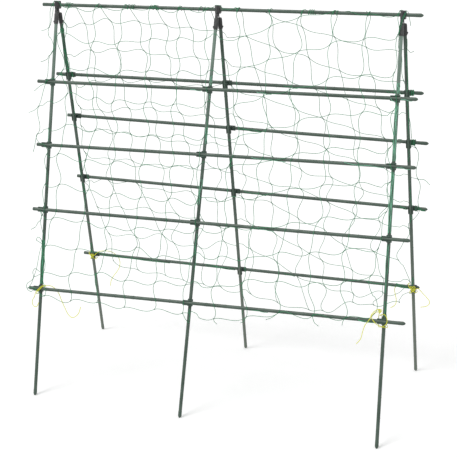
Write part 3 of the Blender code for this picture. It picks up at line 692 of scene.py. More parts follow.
# %% The neck, the sleeve and the lug
def add_neck(shape, side, which):
    """A bar from the head down to the sleeve; made first, in an empty bmesh."""
    neck = NECK[side]
    top = (HEAD_BORE + HEAD_RISE) / 2
    reach = SLEEVE_TOP + SLEEVE_SHOULDER / 4 - top
    bmesh.ops.create_cube(shape, size=1.0)
    bmesh.ops.scale(shape, vec=(neck["width"], neck["depth"], reach), verts=shape.verts[:])
    round_hard_edges(shape, shape.verts[:], NECK_EDGE)
    x = FRAMES[which][1] + side * HEAD_PITCH / 2 + neck["shift"]
    middle = on_panel(side, x, top + reach / 2, -neck["inset"])
    place = axes_matrix(middle, Vector((1.0, 0.0, 0.0)), -panel_axes(side)[0])
    bmesh.ops.transform(shape, matrix=place, verts=shape.verts[:])


def add_sleeve(shape, centre, direction):
    top, mouth, outer = SLEEVE_TOP, SLEEVE_TOP + SLEEVE_LENGTH, SLEEVE_OUTER
    outline = (
        (0.0, -top), (0.0046, -top), (0.0055, -top - 0.0004), (0.0061, -top - 0.0014),
        (outer - 0.0002, -top - SLEEVE_SHOULDER), (outer, -top - SLEEVE_SHOULDER - 0.0010),
        (outer, -mouth + 0.0006), (outer - 0.0003, -mouth), (SLEEVE_BORE + 0.0002, -mouth),
        (SLEEVE_BORE, -mouth + 0.0006), (SLEEVE_BORE, -SLEEVE_BORE_TOP),
        (0.0, -SLEEVE_BORE_TOP))
    spun(shape, outline, FITTING_STEPS, axes_matrix(centre, Vector((0.0, 1.0, 0.0)), -direction))


def add_lug(shape, centre, direction, side):
    """A small round stud low on the sleeve, away from the sleeve beside it."""
    height = SLEEVE_TOP + SLEEVE_LENGTH - LUG_FROM_MOUTH
    sideways = Vector((side, 0.0, 0.0))
    outline = ((0.0, LUG_HEIGHT), (LUG_RADIUS * 0.55, LUG_HEIGHT),
               (LUG_RADIUS * 0.75, LUG_HEIGHT - 0.0003), (LUG_RADIUS, -0.0012),
               (0.0, -0.0012))
    place = axes_matrix(centre + direction * height + sideways * SLEEVE_OUTER,
                        direction, sideways)
    spun(shape, outline, LUG_STEPS, place)


# %% Make the fittings
for side in (FRONT, BACK):
    for which, (label, _) in enumerate(FRAMES):
        name = f"{SIDE_NAME[side]}_fitting_{label}"
        centre = RIDGE + Vector((leg_x(side, which), 0.0, 0.0))
        direction = leg_direction(side, which)
        shape = bmesh.new()
        add_neck(shape, side, which)
        add_head(shape, side, which)
        add_sleeve(shape, centre, direction)
        add_lug(shape, centre, direction, side)
        mesh = shape_mesh(shape, name)
        # Front fittings take the lighter copy of the plastic (painted light), back ones the darker
        # copy (painted shade).
        pieces["fitting_" + SIDE_NAME[side]].append(
            mesh_piece("hinge_" + name, mesh, BODY[side], [name]))
    print(SIDE_NAME[side], "fittings of", len(mesh.polygons), "faces")

# %% [markdown]
# ## The net
# The net is one sheet of knotted green string, thirteen strings wide, thrown over
# the ridge and let down on both sides. It was packed in a hank, so its meshes are
# not square: every string snakes from knot to knot. It is made string by string,
# because a grid of straight wires looks like fencing.
#
# The net hangs in a tangle that no formula gives, so its knots were read from the
# photograph, in rows from the front hem over the ridge to the back hem. Each
# is written as its place in the picture, which is 457 pixels wide and high: how far
# from the left and from the top.

# %% Where the knots show in the photograph
KNOTS_SEEN = (
    ((28, 288), (44, 296), (69.7, 301.1), (96, 302.6), (123.2, 307.4), (153.7, 309.6), (181.6, 313.3),
     (212.7, 318.7), (246, 317), (278.4, 312.6), (312.2, 316.2), (345.2, 318), (374, 317)),
    ((33.5, 279), (43, 273), (70, 273.8), (97.4, 273), (125, 280.6), (154.5, 282.7), (185.4, 285),
     (213, 286.4), (243.3, 281.3), (276.2, 281.5), (308.8, 284), (342, 283), (371.2, 275)),
    ((41.5, 247), (45, 246), (75.8, 249.3), (105.3, 249.7), (135.8, 247.6), (157, 257), (192, 256.3),
     (217.8, 256.8), (246.2, 258), (278.7, 252.2), (309.5, 253), (344.1, 250.9), (377.8, 250.5)),
    ((42, 218), (53, 218), (82.4, 221), (106, 227), (134.9, 228.4), (164, 229.7), (194, 231.8),
     (225.3, 228.8), (251.2, 229.2), (287.6, 223.8), (319.9, 219.3), (354, 218.5), (386, 215)),
    ((44.5, 187), (58.5, 184.5), (87.4, 190), (111.2, 194.7), (139.9, 197.6), (168.3, 198.8),
     (195.8, 203), (225.3, 198.8), (256, 198), (288.7, 188.8), (322, 185), (357, 183), (389.5, 185.5)),
    ((46.5, 157), (58, 153.5), (85, 160), (112.5, 162.5), (140.5, 166), (171.6, 166.3), (197.8, 166.7),
     (227.4, 167.5), (259.5, 163), (294, 154.2), (326.6, 149.2), (358.3, 148), (390, 150.5)),
    ((37, 134), (65, 125), (95, 129.5), (116, 133), (147.8, 135), (172.4, 135.8), (204, 138.8),
     (237.8, 137), (266.2, 128.8), (298.5, 121.3), (328.7, 114.6), (362.4, 112), (393, 114)),
    ((38, 106), (67, 94), (93, 98), (112, 102.5), (145, 102.5), (172.8, 104.6), (205.3, 105),
     (234.5, 105), (263.7, 95.5), (290, 89.5), (327, 79.5), (360.5, 75.5), (394, 75.5)),
    ((46, 83), (62.5, 70), (87.5, 68.5), (119, 72.5), (147, 71), (178.3, 71.6), (207.2, 73.3),
     (238.7, 69.7), (267.8, 59.5), (299, 51), (330, 44), (363.5, 39), (398, 38)),
    ((51.5, 55), (59, 33), (93, 41.5), (119, 42), (150.2, 38.7), (178, 38), (205.6, 38.7),
     (238.7, 37.8), (270, 26.4), (299.5, 17), (335, 9), (368, 14), (400, 14)),
    ((49, 27), (68, 8), (94.5, 9.5), (122.5, 9.5), (150.5, 8), (178.5, 9.5), (206, 9.5), (239, 8),
     (270, 14.5), (302, 26.5), (334.5, 36.5), (366.5, 47), (400, 52)),
    ((64, 25), (85, 23.5), (110, 20.2), (139, 21.5), (166, 24.5), (191, 27), (220, 33), (247, 36),
     (277.5, 48.5), (309.5, 57.5), (340, 70), (373, 77), (404, 84)),
    ((66, 56), (93, 50.5), (118, 49), (144.5, 50.5), (168.5, 55), (197, 57), (225, 61.5), (255, 67.4),
     (286, 78.5), (316, 89.5), (347.4, 99.2), (378.7, 107.5), (409, 117)),
    ((75, 85), (95.5, 80.5), (122, 79), (148.5, 80), (173.5, 82), (202.5, 85.5), (231, 86),
     (264.5, 97), (294.5, 107.5), (323.3, 118), (354, 129.2), (384.5, 138), (416, 148)),
    ((79.5, 108), (101, 110), (129, 107.5), (154.5, 108.3), (181, 113), (211, 116), (239.5, 117),
     (270.3, 125.4), (296.5, 138), (326.6, 149.2), (356.5, 160.5), (387, 169), (418.2, 178.5)),
    ((81.5, 128), (112, 131), (131, 133.5), (158.3, 137.5), (187, 142), (216.8, 143), (246.6, 145),
     (272.8, 155.8), (301.2, 168.8), (331.6, 176.7), (362.4, 189.2), (390, 197), (419, 207)),
    ((85.5, 153.5), (109.5, 158), (132.5, 160), (162, 164.6), (192, 167), (220.3, 169.2),
     (244.5, 174.2), (271.2, 183.8), (300.8, 189), (328, 202), (353.5, 213.5), (379.5, 221),
     (409, 230.4)),
    ((84, 181), (108, 180), (137.5, 184), (164, 190), (192.4, 192.5), (216, 198.8), (242.8, 198),
     (272, 203), (298.4, 218), (324.5, 228.8), (343.3, 243.8), (373, 250), (398.7, 259.5)),
    ((97.4, 206), (122, 206.8), (151.5, 209), (177.8, 213.8), (203, 219), (220.3, 226.3), (249, 221.8),
     (275.3, 232.6), (300.3, 246.8), (321.6, 259.7), (352, 269.7), (382.4, 277.2), (410, 283)),
    ((109, 232.6), (136.2, 236), (162.8, 234), (173.5, 241.8), (200, 247), (224.5, 241),
     (251.2, 248.8), (275.3, 260.5), (297, 276), (325.3, 285.1), (354, 292), (383, 291), (412, 290)),
    ((114, 260), (139.5, 268.4), (167, 273.4), (185, 278), (205, 282), (222.5, 285), (252, 291.7),
     (279, 300.5), (310, 307.4), (324, 308.4), (354, 300), (374.5, 302.6), (400, 300)),
)
print(len(KNOTS_SEEN), "rows of", len(KNOTS_SEEN[0]), "knots")

# %% [markdown]
# The net lies on the pole, rises over the heads of the top fittings, and from
# there on rests on the outside of the rods. Between two rods it sinks in a little
# under its own weight, and below the last rod it hangs straight down.

# %% The surface that the net lies on
STRING_RADIUS = 0.0008
ON_POLE = 0.0064
ON_HEAD = 0.0135
HEAD_HALF = 0.0085
HEAD_SLOPE = 0.008
ON_RODS = 0.0204
SPREAD_BY = 0.225
SINK = 0.0045
PAST_LAST_ROD = 0.004
CLOSEST_TO_LEG = 0.0068


def ease(value):
    value = min(max(value, 0.0), 1.0)
    return value * value * (3.0 - 2.0 * value)


def spreading(start, drop, reach):
    """The way out to the rods, evenly from the pole down to a reach."""
    return start + (ON_RODS - start) * min(drop / reach, 1.0)


def net_standoff(side, x, drop, start):
    rods = [DROP[side][rod] + SLOPE[side][rod] * x for rod in range(4)]
    if drop < rods[0]:
        return spreading(start, drop, SPREAD_BY)
    for above, below in zip(rods, rods[1:]):
        if drop < below:
            share = (drop - above) / (below - above)
            return ON_RODS - SINK * math.sin(math.pi * share) ** 2
    hang = max(0.0, drop - rods[-1] - PAST_LAST_ROD)
    return max(CLOSEST_TO_LEG, ON_RODS - hang * math.tan(SPLAY))


def on_sheet(x, along, start, standoff):
    """A point of a sheet that bends over the ridge and hangs down both panels."""
    side = FRONT if along < 0.0 else BACK
    bend = start * (math.pi / 2 - SPLAY)
    if abs(along) <= bend:
        turn = abs(along) / start
        return RIDGE + Vector((x, side * start * math.sin(turn), start * math.cos(turn)))
    drop = abs(along) - bend
    return on_panel(side, x, drop, standoff(side, x, drop, start))


def on_net(x, along):
    """The point of the net at metres along the ridge and along the net."""
    nearest = min(abs(x - middle) for _, middle in FRAMES)
    start = ON_HEAD + (ON_POLE - ON_HEAD) * ease((nearest - HEAD_HALF) / HEAD_SLOPE)
    return on_sheet(x, along, start, net_standoff)


print("net touches the ridge at", [round(c, 4) for c in on_net(0.2, 0.0)])

# %% [markdown]
# A place in the picture is a sight line from the camera, and the knot hangs where
# that line meets the net. For this the net counts as a plain sheet, which leaves
# the pole and comes out to the rods evenly. The result is a pair of millimetres:
# along the ridge, and along the net, which is less than zero in front of the ridge
# and more behind it. A line that just misses the net over the ridge gives the
# place that it passes closest to. The row on the ridge starts in front of it and
# ends behind it.

# %% Where the knots hang
PHOTO_SIDE = 457
FOCAL_PIXELS = camera_data.lens / camera_data.sensor_width * PHOTO_SIDE
SHEET_SPREAD = 0.165
SHEET_LENGTH = 1.1
SEARCH_STEP = 0.001
ROW_ON_RIDGE = 10
FIRST_BEHIND = 7


def plain_standoff(_side, _x, drop, start):
    return spreading(start, drop, SHEET_SPREAD)


def sheet_spots(side):
    """Where the plain sheet passes, from the ridge down, every millimetre."""
    steps = range(round(SHEET_LENGTH / SEARCH_STEP) + 1)
    alongs = [side * step * SEARCH_STEP for step in steps]
    return [(along, on_sheet(0.0, along, ON_POLE, plain_standoff)) for along in alongs]


SHEET = {side: sheet_spots(side) for side in (FRONT, BACK)}


def hanging_at(seen, side):
    """Whole millimetres along the ridge and along the net of a knot seen at a place."""
    ray = Vector((seen[0] - PHOTO_SIDE / 2, PHOTO_SIDE / 2 - seen[1], -FOCAL_PIXELS))
    line = camera.rotation_euler.to_matrix() @ ray
    points = [camera.location + line * ((spot.y - camera.location.y) / line.y)
              for _, spot in SHEET[side]]
    misses = [point.z - spot.z for point, (_, spot) in zip(points, SHEET[side])]
    meets = [i for i in range(len(misses) - 1) if (misses[i] < 0.0) != (misses[i + 1] < 0.0)]
    if meets:
        last = meets[-1]
        share = misses[last] / (misses[last] - misses[last + 1])
    else:
        last = min(range(len(misses) - 1), key=lambda i: abs(misses[i]))
        share = 0.0
    across = points[last].lerp(points[last + 1], share).x - RIDGE.x
    along = SHEET[side][last][0] + side * SEARCH_STEP * share
    return round(across * 1000.0), round(along * 1000.0)


def knot_side(row, column):
    if row == ROW_ON_RIDGE:
        return BACK if column >= FIRST_BEHIND else FRONT
    return FRONT if row < ROW_ON_RIDGE else BACK


NET_ROWS = [[hanging_at(seen, knot_side(row, column)) for column, seen in enumerate(knots)]
            for row, knots in enumerate(KNOTS_SEEN)]
print("first and last knot at", NET_ROWS[0][0], NET_ROWS[-1][-1])

# %% [markdown]
# Both strings of a knot run through it the same slanting way, because the knot is
# pulled tight from one side. So every string snakes: it leaves a knot on the
# slant, swings back, and comes in on the slant again. A cubic with those slants
# at its ends draws that, and the crosswise strings also sag.

# %% The way of a string between knots
SLANT = {"across": math.radians(33.0), "along": math.radians(60.0)}
SLANT_SPREAD = math.radians(13.0)
SWING = 1.15
STRING_STEP = 0.0075
net_draw = random.Random(7)


def knot_slants():
    return [[{way: SLANT[way] + net_draw.uniform(-SLANT_SPREAD, SLANT_SPREAD)
              for way in SLANT} for _ in row] for row in NET_ROWS]


def swinging(start, end, start_slant, end_slant, sag):
    """Points from one knot to the next, leaving out the last."""
    a, b = Vector(start) / 1000.0, Vector(end) / 1000.0
    span = (b - a).length
    leave = Vector((math.cos(start_slant), math.sin(start_slant))) * span * SWING
    arrive = Vector((math.cos(end_slant), math.sin(end_slant))) * span * SWING
    steps = max(3, round(span / STRING_STEP))
    points = []
    for step in range(steps):
        t = step / steps
        spot = (a * (2 * t ** 3 - 3 * t ** 2 + 1) + leave * (t ** 3 - 2 * t ** 2 + t)
                + b * (3 * t ** 2 - 2 * t ** 3) + arrive * (t ** 3 - t ** 2))
        spot.y += sag * 4 * t * (1 - t) * (1 if spot.y > 0 else -1)
        points.append(spot)
    return points


# %% All the strings
MOST_SAG = 0.007
LOOSE_STEP = 0.004

# The row on the ridge starts round the head of the left fitting, by this corner
HEAD_CORNER = (-548, -5)
TO_CORNER = (1.4, 0.9)
FROM_CORNER = (0.1, 0.0)


def crosswise(row, knots):
    """One string from edge to edge of the net, through the knots of a row."""
    spots = []
    for i in range(len(knots) - 1):
        sag = net_draw.uniform(0.0, MOST_SAG)
        if (row, i) == (ROW_ON_RIDGE, 0):
            spots += swinging(knots[i], HEAD_CORNER, *TO_CORNER, 0.0)
            spots += swinging(HEAD_CORNER, knots[i + 1], *FROM_CORNER, 0.0)
        else:
            spots += swinging(knots[i], knots[i + 1], slants[row][i]["across"],
                              slants[row][i + 1]["across"], sag)
    return spots + [Vector(knots[-1]) / 1000.0]


def lengthwise(column):
    """One string from hem to hem, through the knots of a column."""
    spots = []
    for row in range(len(NET_ROWS) - 1):
        spots += swinging(NET_ROWS[row][column], NET_ROWS[row + 1][column],
                          slants[row][column]["along"], slants[row + 1][column]["along"], 0.0)
    return spots + [Vector(NET_ROWS[-1][column]) / 1000.0]


slants = knot_slants()
strings = [crosswise(row, knots) for row, knots in enumerate(NET_ROWS)]
strings += [lengthwise(column) for column in range(len(NET_ROWS[0]))]

# Loose ends that stick out at the edges, written as places in the picture too
LOOSE_SEEN = {
    FRONT: (
        ((49, 27), (45, 29.5), (41, 30.5)),
        ((51.5, 55), (50, 57.5), (45, 60), (40.1, 62)),
        ((46, 83), (40, 86), (34, 91)),
        ((38, 106), (34, 110), (28, 112.5)),
        ((37, 134), (36, 138), (34.6, 146), (33, 152)),
        ((42, 218), (40, 213), (41, 222), (35, 227), (30.5, 229.5)),
        ((41.5, 247), (36, 243), (37, 240), (40, 242), (41, 245)),
        ((33.5, 279), (33, 270.9), (39.5, 274.7)),
        ((33.5, 279), (27, 284), (28, 290), (35, 293), (44, 296)),
        ((181.6, 313.3), (184.3, 320), (187.8, 323.6)),
        ((212.7, 318.7), (213, 322), (215.6, 325)),
        ((246, 317), (242.3, 321.7), (238.8, 323.4)),
        ((278.4, 312.6), (271.5, 317.7), (265, 320)),
        ((312.2, 316.2), (314, 323), (318, 326.5)),
        ((345, 318.2), (342.7, 321.7), (341.5, 326))),
    BACK: (
        ((400, 52), (406.2, 53), (412, 52), (414, 50.6)),
        ((418.2, 178.5), (425, 179.5), (430, 184.3)),
        ((407.4, 14.1), (409.7, 19), (411, 25.7)))}
for side, loose_ends in LOOSE_SEEN.items():
    for places in loose_ends:
        knots = [hanging_at(seen, side) for seen in places]
        spots = [Vector((x / 1000.0, along / 1000.0, 0.0)) for x, along in knots]
        strings.append([spot.xy for spot in smooth_line(spots, LOOSE_STEP)[0]])
lines = [[on_net(spot.x, spot.y) for spot in spots] for spots in strings]
net_mesh = tube_mesh("trellis_net", lines, STRING_RADIUS, STRING_RESOLUTION)
print(len(lines), "strings,", len(net_mesh.polygons), "faces")

# %% [markdown]
# A knot is a short whipping of three turns round both strings. One is made from
# three small rings, and a copy is set on each crossing, turned along the slant.
# Its darker green is painted shade in the turns.

# %% The knots
WHIP_RADIUS = 0.0011
WHIP_STRING = 0.0007
WHIP_TURNS = (-0.0017, 0.0, 0.0017)
WHIP_STEPS = 6
WHIP_SIDE = Vector((0.3, 1.0, 0.2))
ALONG_KNOT = 0.002
NO_SHARP_EDGES = 180.0


def knot_pattern():
    shape = bmesh.new()
    for place in WHIP_TURNS:
        outline = [(WHIP_RADIUS + WHIP_STRING * math.cos(math.pi / 2 * k),
                    place + WHIP_STRING * math.sin(math.pi / 2 * k)) for k in range(4)]
        spun(shape, outline, WHIP_STEPS, Matrix.Identity(4), closed=True)
    return shape_mesh(shape, "knot_pattern", NO_SHARP_EDGES)


def add_knot(shape, pattern, x, along, slant):
    """A copy of the pattern on the net, its axis along the slant of the strings."""
    way = Vector((math.cos(slant), math.sin(slant))) * ALONG_KNOT
    ahead = on_net(x + way.x, along + way.y) - on_net(x - way.x, along - way.y)
    verts_before, faces_before = len(shape.verts), len(shape.faces)
    shape.from_mesh(pattern)
    shape.verts.ensure_lookup_table()
    shape.faces.ensure_lookup_table()
    for face in shape.faces[faces_before:]:
        # Knot faces take the second slot, a darker green that is painted shade.
        face.material_index = 1
    bmesh.ops.transform(shape, matrix=axes_matrix(on_net(x, along), WHIP_SIDE, ahead),
                        verts=shape.verts[verts_before:])


pattern = knot_pattern()
shape = bmesh.new()
shape.from_mesh(net_mesh)
for knots, knot_ways in zip(NET_ROWS, slants):
    for (x, along), ways in zip(knots, knot_ways):
        slant = (ways["across"] + ways["along"]) / 2
        add_knot(shape, pattern, x / 1000.0, along / 1000.0, slant)
shape.to_mesh(net_mesh)
shape.free()
bpy.data.meshes.remove(pattern)
net_mesh.shade_smooth()
print("net of", len(net_mesh.polygons), "faces")

# %% [markdown]
# The net crosses the ridge, so one mesh takes the place of the nets of both panels.
# It follows the front panel before the pole and the back panel behind it, and turns
# over the pole in between, as the real net does when the panels are opened. It rides
# on neither panel.

# %% The net in place of both panel nets
net = mesh_piece("trellis_net", net_mesh, None, ["net_front", "net_back"])
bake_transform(net)
pieces["net"].append(net)

# %% [markdown]
# Here and there a string of the net is taken round the pole once more, which
# keeps it from slipping along. These turns ride with the pole.

# %% Turns round the ridge pole
ON_NET = 0.0011
STEPS_IN_TURN = 20
FIRST_ANGLE = 2.0
ANGLE_BY_PLACE = 17.0

# Each winding: its middle along the ridge, how many turns and their pitch
RIDGE_TURNS = (
    (-0.498, 3.4, 0.0058), (-0.389, 1.1, 0.014), (-0.296, 1.2, 0.013), (-0.276, 1.6, 0.007),
    (-0.208, 2.1, 0.011), (-0.198, 2.0, 0.006), (-0.123, 1.1, 0.010), (-0.052, 1.6, 0.015),
    (0.060, 1.3, 0.012), (0.163, 1.2, 0.012), (0.268, 1.0, 0.026), (0.290, 3.2, 0.0062),
    (0.360, 1.4, 0.010), (0.455, 1.0, 0.012))


def winding(middle, count, pitch):
    """Points of a string that goes round the pole a few times."""
    steps = round(count * STEPS_IN_TURN)
    radius = ON_POLE + ON_NET
    points = []
    for step in range(steps + 1):
        share = step / steps - 0.5
        angle = FIRST_ANGLE + ANGLE_BY_PLACE * middle + 2 * math.pi * count * share
        points.append(RIDGE + Vector((middle + pitch * count * share,
                                      radius * math.sin(angle), radius * math.cos(angle))))
    return points


windings = [winding(*ridge_turn) for ridge_turn in RIDGE_TURNS]
mesh = tube_mesh("ridge_turns", windings, STRING_RADIUS, STRING_RESOLUTION)
pieces["net"].append(mesh_piece("ridge_turns", mesh, BODY[FRONT]))
print(len(windings), "windings on the ridge")

# %% [markdown]
# The edge strings of the net are gathered along the outer legs and taken round the
# ends of the rods, which is how such a net is held at its sides. Shorter stretches
# lie on the middle legs and along the rods, where the net has caught on them. Each
# string lies on the stake or on a clip's collar and turns slowly round it. Tubes
# that follow the stake show this better than strings drawn in a texture would.

# %% Strings gathered on the stakes
ON_STAKE = 0.0063
ON_COLLAR = 0.0090

# For each leg: drop at the top and at the bottom, turns, start angle of each string
LEG_STRINGS = {
    (FRONT, 2): ((0.192, 0.222, 0.06, (-0.5, 0.1, 0.8)), (0.250, 0.413, 0.08, (-0.9, -0.4, 0.0)),
        (0.255, 0.300, -0.10, (0.4, 0.9)), (0.350, 0.413, 0.10, (0.5,)),
        (0.443, 0.618, -0.05, (-0.5, -0.1, 0.3, 0.8)), (0.648, 0.790, 0.10, (-0.8,)),
        (0.648, 0.735, 0.05, (0.2,)), (0.812, 0.866, 0.10, (-0.2, 0.6))),
    (FRONT, 1): ((0.196, 0.226, 0.10, (-0.2, 0.5)), (0.252, 0.266, 0.05, (0.3,)),
        (0.352, 0.402, 0.10, (0.1, 0.8)), (0.508, 0.585, -0.12, (-0.1, 0.7)),
        (0.672, 0.782, 0.15, (0.3,)), (0.902, 0.938, 0.10, (0.2,))),
    (FRONT, 0): ((0.385, 0.455, 0.10, (-0.4,)), (0.742, 0.880, 0.05, (-0.5, -0.1, 0.3, 0.7, 1.1))),
    (BACK, 0): ((0.072, 0.224, 0.12, (1.8, 3.0)), (0.145, 0.224, -0.10, (2.2, 2.6, 3.0)),
        (0.078, 0.087, 2.0, (0.0, 2.0)), (0.255, 0.378, -0.10, (2.4,)),
        (0.515, 0.598, 0.10, (2.3, 2.9)), (0.627, 0.668, -0.10, (2.6, 3.2)),
        (0.866, 0.905, 0.10, (2.5, 3.1)), (0.988, 1.092, 0.12, (2.6,))),
    (BACK, 1): ((0.148, 0.190, 0.10, (2.8,)), (0.486, 0.530, 0.30, (2.0, 2.7)),
        (0.862, 0.903, 0.10, (2.8,)), (1.060, 1.098, 0.10, (2.7,))),
    (BACK, 2): ((0.070, 0.232, 0.10, (2.1,)), (0.255, 0.385, -0.08, (2.8,)),
        (0.417, 0.458, 0.10, (2.6,)), (0.545, 0.612, -0.10, (2.9,)), (0.640, 0.668, 0.10, (2.6,)),
        (0.868, 0.900, 0.10, (2.6, 3.2)))}

# For each rod: from and to along the ridge, turns, start angle of each string, radius
ROD_STRINGS = {
    (FRONT, 0): ((-0.064, -0.029, 0.20, (0.3,), ON_STAKE), (0.146, 0.190, 0.25, (0.1,), ON_STAKE),
        (0.544, 0.566, 0.60, (0.0,), ON_COLLAR), (0.573, 0.604, 0.20, (0.2,), ON_STAKE)),
    (FRONT, 1): ((0.146, 0.250, 0.20, (0.0,), ON_STAKE), (0.425, 0.541, 0.20, (-0.2,), ON_STAKE),
        (0.577, 0.614, 0.20, (0.2,), ON_STAKE)),
    (FRONT, 2): ((0.182, 0.230, 0.20, (0.2,), ON_STAKE),),
    (FRONT, 3): ((0.182, 0.232, 0.20, (0.2,), ON_STAKE), (0.503, 0.554, 0.20, (0.0, 0.7), ON_STAKE)),
    (BACK, 0): ((-0.576, -0.551, 0.40, (2.4, 3.2), ON_STAKE),
        (-0.546, -0.524, 1.6, (0.0, 2.0), ON_COLLAR), (0.186, 0.230, 0.20, (2.6,), ON_STAKE),
        (0.503, 0.553, 0.20, (2.6,), ON_STAKE), (0.570, 0.584, 2.5, (0.0, 1.5), ON_COLLAR)),
    (BACK, 1): ((0.028, 0.104, 0.20, (2.2, 2.9), ON_STAKE),
        (0.576, 0.588, 2.2, (0.5, 2.5), ON_COLLAR), (0.515, 0.545, 0.9, (2.0, 3.0), ON_STAKE)),
    (BACK, 2): ((0.028, 0.104, 0.20, (2.4,), ON_STAKE), (0.540, 0.563, 0.20, (2.3, 3.0), ON_STAKE),
        (0.586, 0.598, 2.4, (0.0,), ON_COLLAR), (0.597, 0.619, 0.30, (2.0, 2.5, 3.0), ON_STAKE)),
    (BACK, 3): ((-0.535, -0.268, 0.30, (2.0, 2.6), ON_STAKE),
        (-0.218, -0.182, 0.20, (2.5,), ON_STAKE), (-0.134, -0.028, 0.20, (2.0, 2.7), ON_STAKE),
        (0.146, 0.184, 0.20, (2.4,), ON_STAKE), (0.425, 0.524, 0.15, (2.3,), ON_STAKE),
        (0.524, 0.571, 0.35, (1.2, 1.6, 2.1, 2.6, 3.1), ON_STAKE))}

# Strings that hang over the front of the right top fitting: millimetres along the
# ridge, down the panel and out of it
FITTING_STRINGS = (
    ((566.0, -11.0, 7.0), (564.5, -6.5, 9.6), (562.0, 2.0, 10.0), (558.0, 12.0, 9.8),
     (555.0, 25.0, 8.6), (552.3, 38.0, 9.0), (549.5, 52.0, 8.4), (547.9, 64.0, 6.6)),
    ((561.5, -9.5, 8.0), (560.0, 0.0, 9.9), (556.0, 10.0, 9.6), (552.5, 20.0, 7.4),
     (550.0, 30.0, 7.6), (548.8, 44.0, 7.0), (548.4, 58.0, 6.0)))

# %% Lay them on the stakes
GATHERED_STEP = 0.006
FEWEST_STEPS = 6
STEPS_IN_ROUND = 16
WAVER = 0.25
WAVER_ALONG = 9.0
WAVER_APART = 5.0


def turned_strings(start, end, turns, start_angles, across, radius):
    """Strings that turn slowly, and waver a little, round a straight line."""
    third = (end - start).normalized().cross(across)
    steps = max(FEWEST_STEPS, round((end - start).length / GATHERED_STEP),
                round(abs(turns) * STEPS_IN_ROUND))
    found = []
    for angle in start_angles:
        line = []
        for step in range(steps + 1):
            share = step / steps
            turn = (angle + 2 * math.pi * turns * share
                    + WAVER * math.sin(WAVER_ALONG * share + WAVER_APART * angle))
            line.append(start.lerp(end, share)
                        + (across * math.cos(turn) + third * math.sin(turn)) * radius)
        found.append(line)
    return found


gathered = {FRONT: [], BACK: []}
for (side, which), rows in LEG_STRINGS.items():
    for top, bottom, turns, angles in rows:
        gathered[side] += turned_strings(
            leg_point(side, which, top), leg_point(side, which, bottom), side * turns,
            [side * angle for angle in angles], panel_axes(side)[1], ON_STAKE)
for (side, rod), rows in ROD_STRINGS.items():
    for left, right, turns, angles, radius in rows:
        gathered[side] += turned_strings(rod_point(side, rod, left), rod_point(side, rod, right),
                                         turns, angles, panel_axes(side)[1], radius)
over_fitting = []
for route in FITTING_STRINGS:
    spots = [on_panel(FRONT, x / 1000.0, drop / 1000.0, out / 1000.0) for x, drop, out in route]
    over_fitting.append(smooth_line(spots, LOOSE_STEP)[0])
mesh = tube_mesh("fitting_strings", over_fitting, STRING_RADIUS, STRING_RESOLUTION)
pieces["net"].append(mesh_piece("fitting_strings", mesh, BODY[FRONT]))
for side, lines in gathered.items():
    mesh = tube_mesh("gathered_" + SIDE_NAME[side], lines, STRING_RADIUS, STRING_RESOLUTION)
    pieces["net_pale" if side == FRONT else "net"].append(
        mesh_piece("gathered_strings_" + SIDE_NAME[side], mesh, BODY[side]))
    print(SIDE_NAME[side], len(lines), "gathered strings")

# %% [markdown]
# ## Finishes
# Effects that more than one finish uses are node groups, built once: a mottled
# colour, a fine grain for the bump, dust that has settled on what faces up, and
# the twist of a laid cord, whose grooves are darkened as painted shade.

# %% Node groups
def new_group(name, inputs, output, kind):
    group = bpy.data.node_groups.new(name, "ShaderNodeTree")
    for title, socket_type, value in inputs:
        socket = group.interface.new_socket(title, in_out="INPUT", socket_type=socket_type)
        socket.default_value = value
    group.interface.new_socket(output, in_out="OUTPUT", socket_type=kind)
    return group, group.nodes.new("NodeGroupInput"), group.nodes.new("NodeGroupOutput")


def noise(tree, scale_from, detail=3.0, roughness=0.55):
    """Noise on Object coordinates, with its scale from a socket or a number."""
    place = tree.nodes.new("ShaderNodeTexCoord")
    node = tree.nodes.new("ShaderNodeTexNoise")
    node.inputs["Detail"].default_value = detail
    node.inputs["Roughness"].default_value = roughness
    tree.links.new(place.outputs["Object"], node.inputs["Vector"])
    if isinstance(scale_from, float):
        node.inputs["Scale"].default_value = scale_from
    else:
        tree.links.new(scale_from, node.inputs["Scale"])
    return node.outputs["Fac"]


def ranged(tree, value, low, high, to_low=0.0, to_high=1.0):
    node = tree.nodes.new("ShaderNodeMapRange")
    node.inputs["From Min"].default_value = low
    node.inputs["From Max"].default_value = high
    node.inputs["To Min"].default_value = to_low
    node.inputs["To Max"].default_value = to_high
    tree.links.new(value, node.inputs["Value"])
    return node.outputs["Result"]


def maths(tree, operation, first, second):
    node = tree.nodes.new("ShaderNodeMath")
    node.operation = operation
    for socket, value in zip(node.inputs, (first, second)):
        if isinstance(value, float):
            socket.default_value = value
        else:
            tree.links.new(value, socket)
    return node.outputs[0]


def mixed(tree, share, first, second):
    """A colour mix; each colour is a socket or a plain colour."""
    node = tree.nodes.new("ShaderNodeMix")
    node.data_type = "RGBA"
    tree.links.new(share, node.inputs["Factor"])
    for socket, value in ((node.inputs[6], first), (node.inputs[7], second)):
        if isinstance(value, tuple):
            socket.default_value = (*value, 1.0)
        else:
            tree.links.new(value, socket)
    return node.outputs[2]


# %% Mottle, grain, dust and twist
BLACK = (0, 0, 0, 1)
WHITE = (1, 1, 1, 1)
mottle, inside, leaving = new_group(
    "mottle", (("Dark", "NodeSocketColor", BLACK), ("Light", "NodeSocketColor", WHITE),
               ("Scale", "NodeSocketFloat", 30.0)), "Colour", "NodeSocketColor")
patches = ranged(mottle, noise(mottle, inside.outputs["Scale"]), 0.34, 0.66)
mottle.links.new(mixed(mottle, patches, inside.outputs["Dark"], inside.outputs["Light"]),
                 leaving.inputs[0])

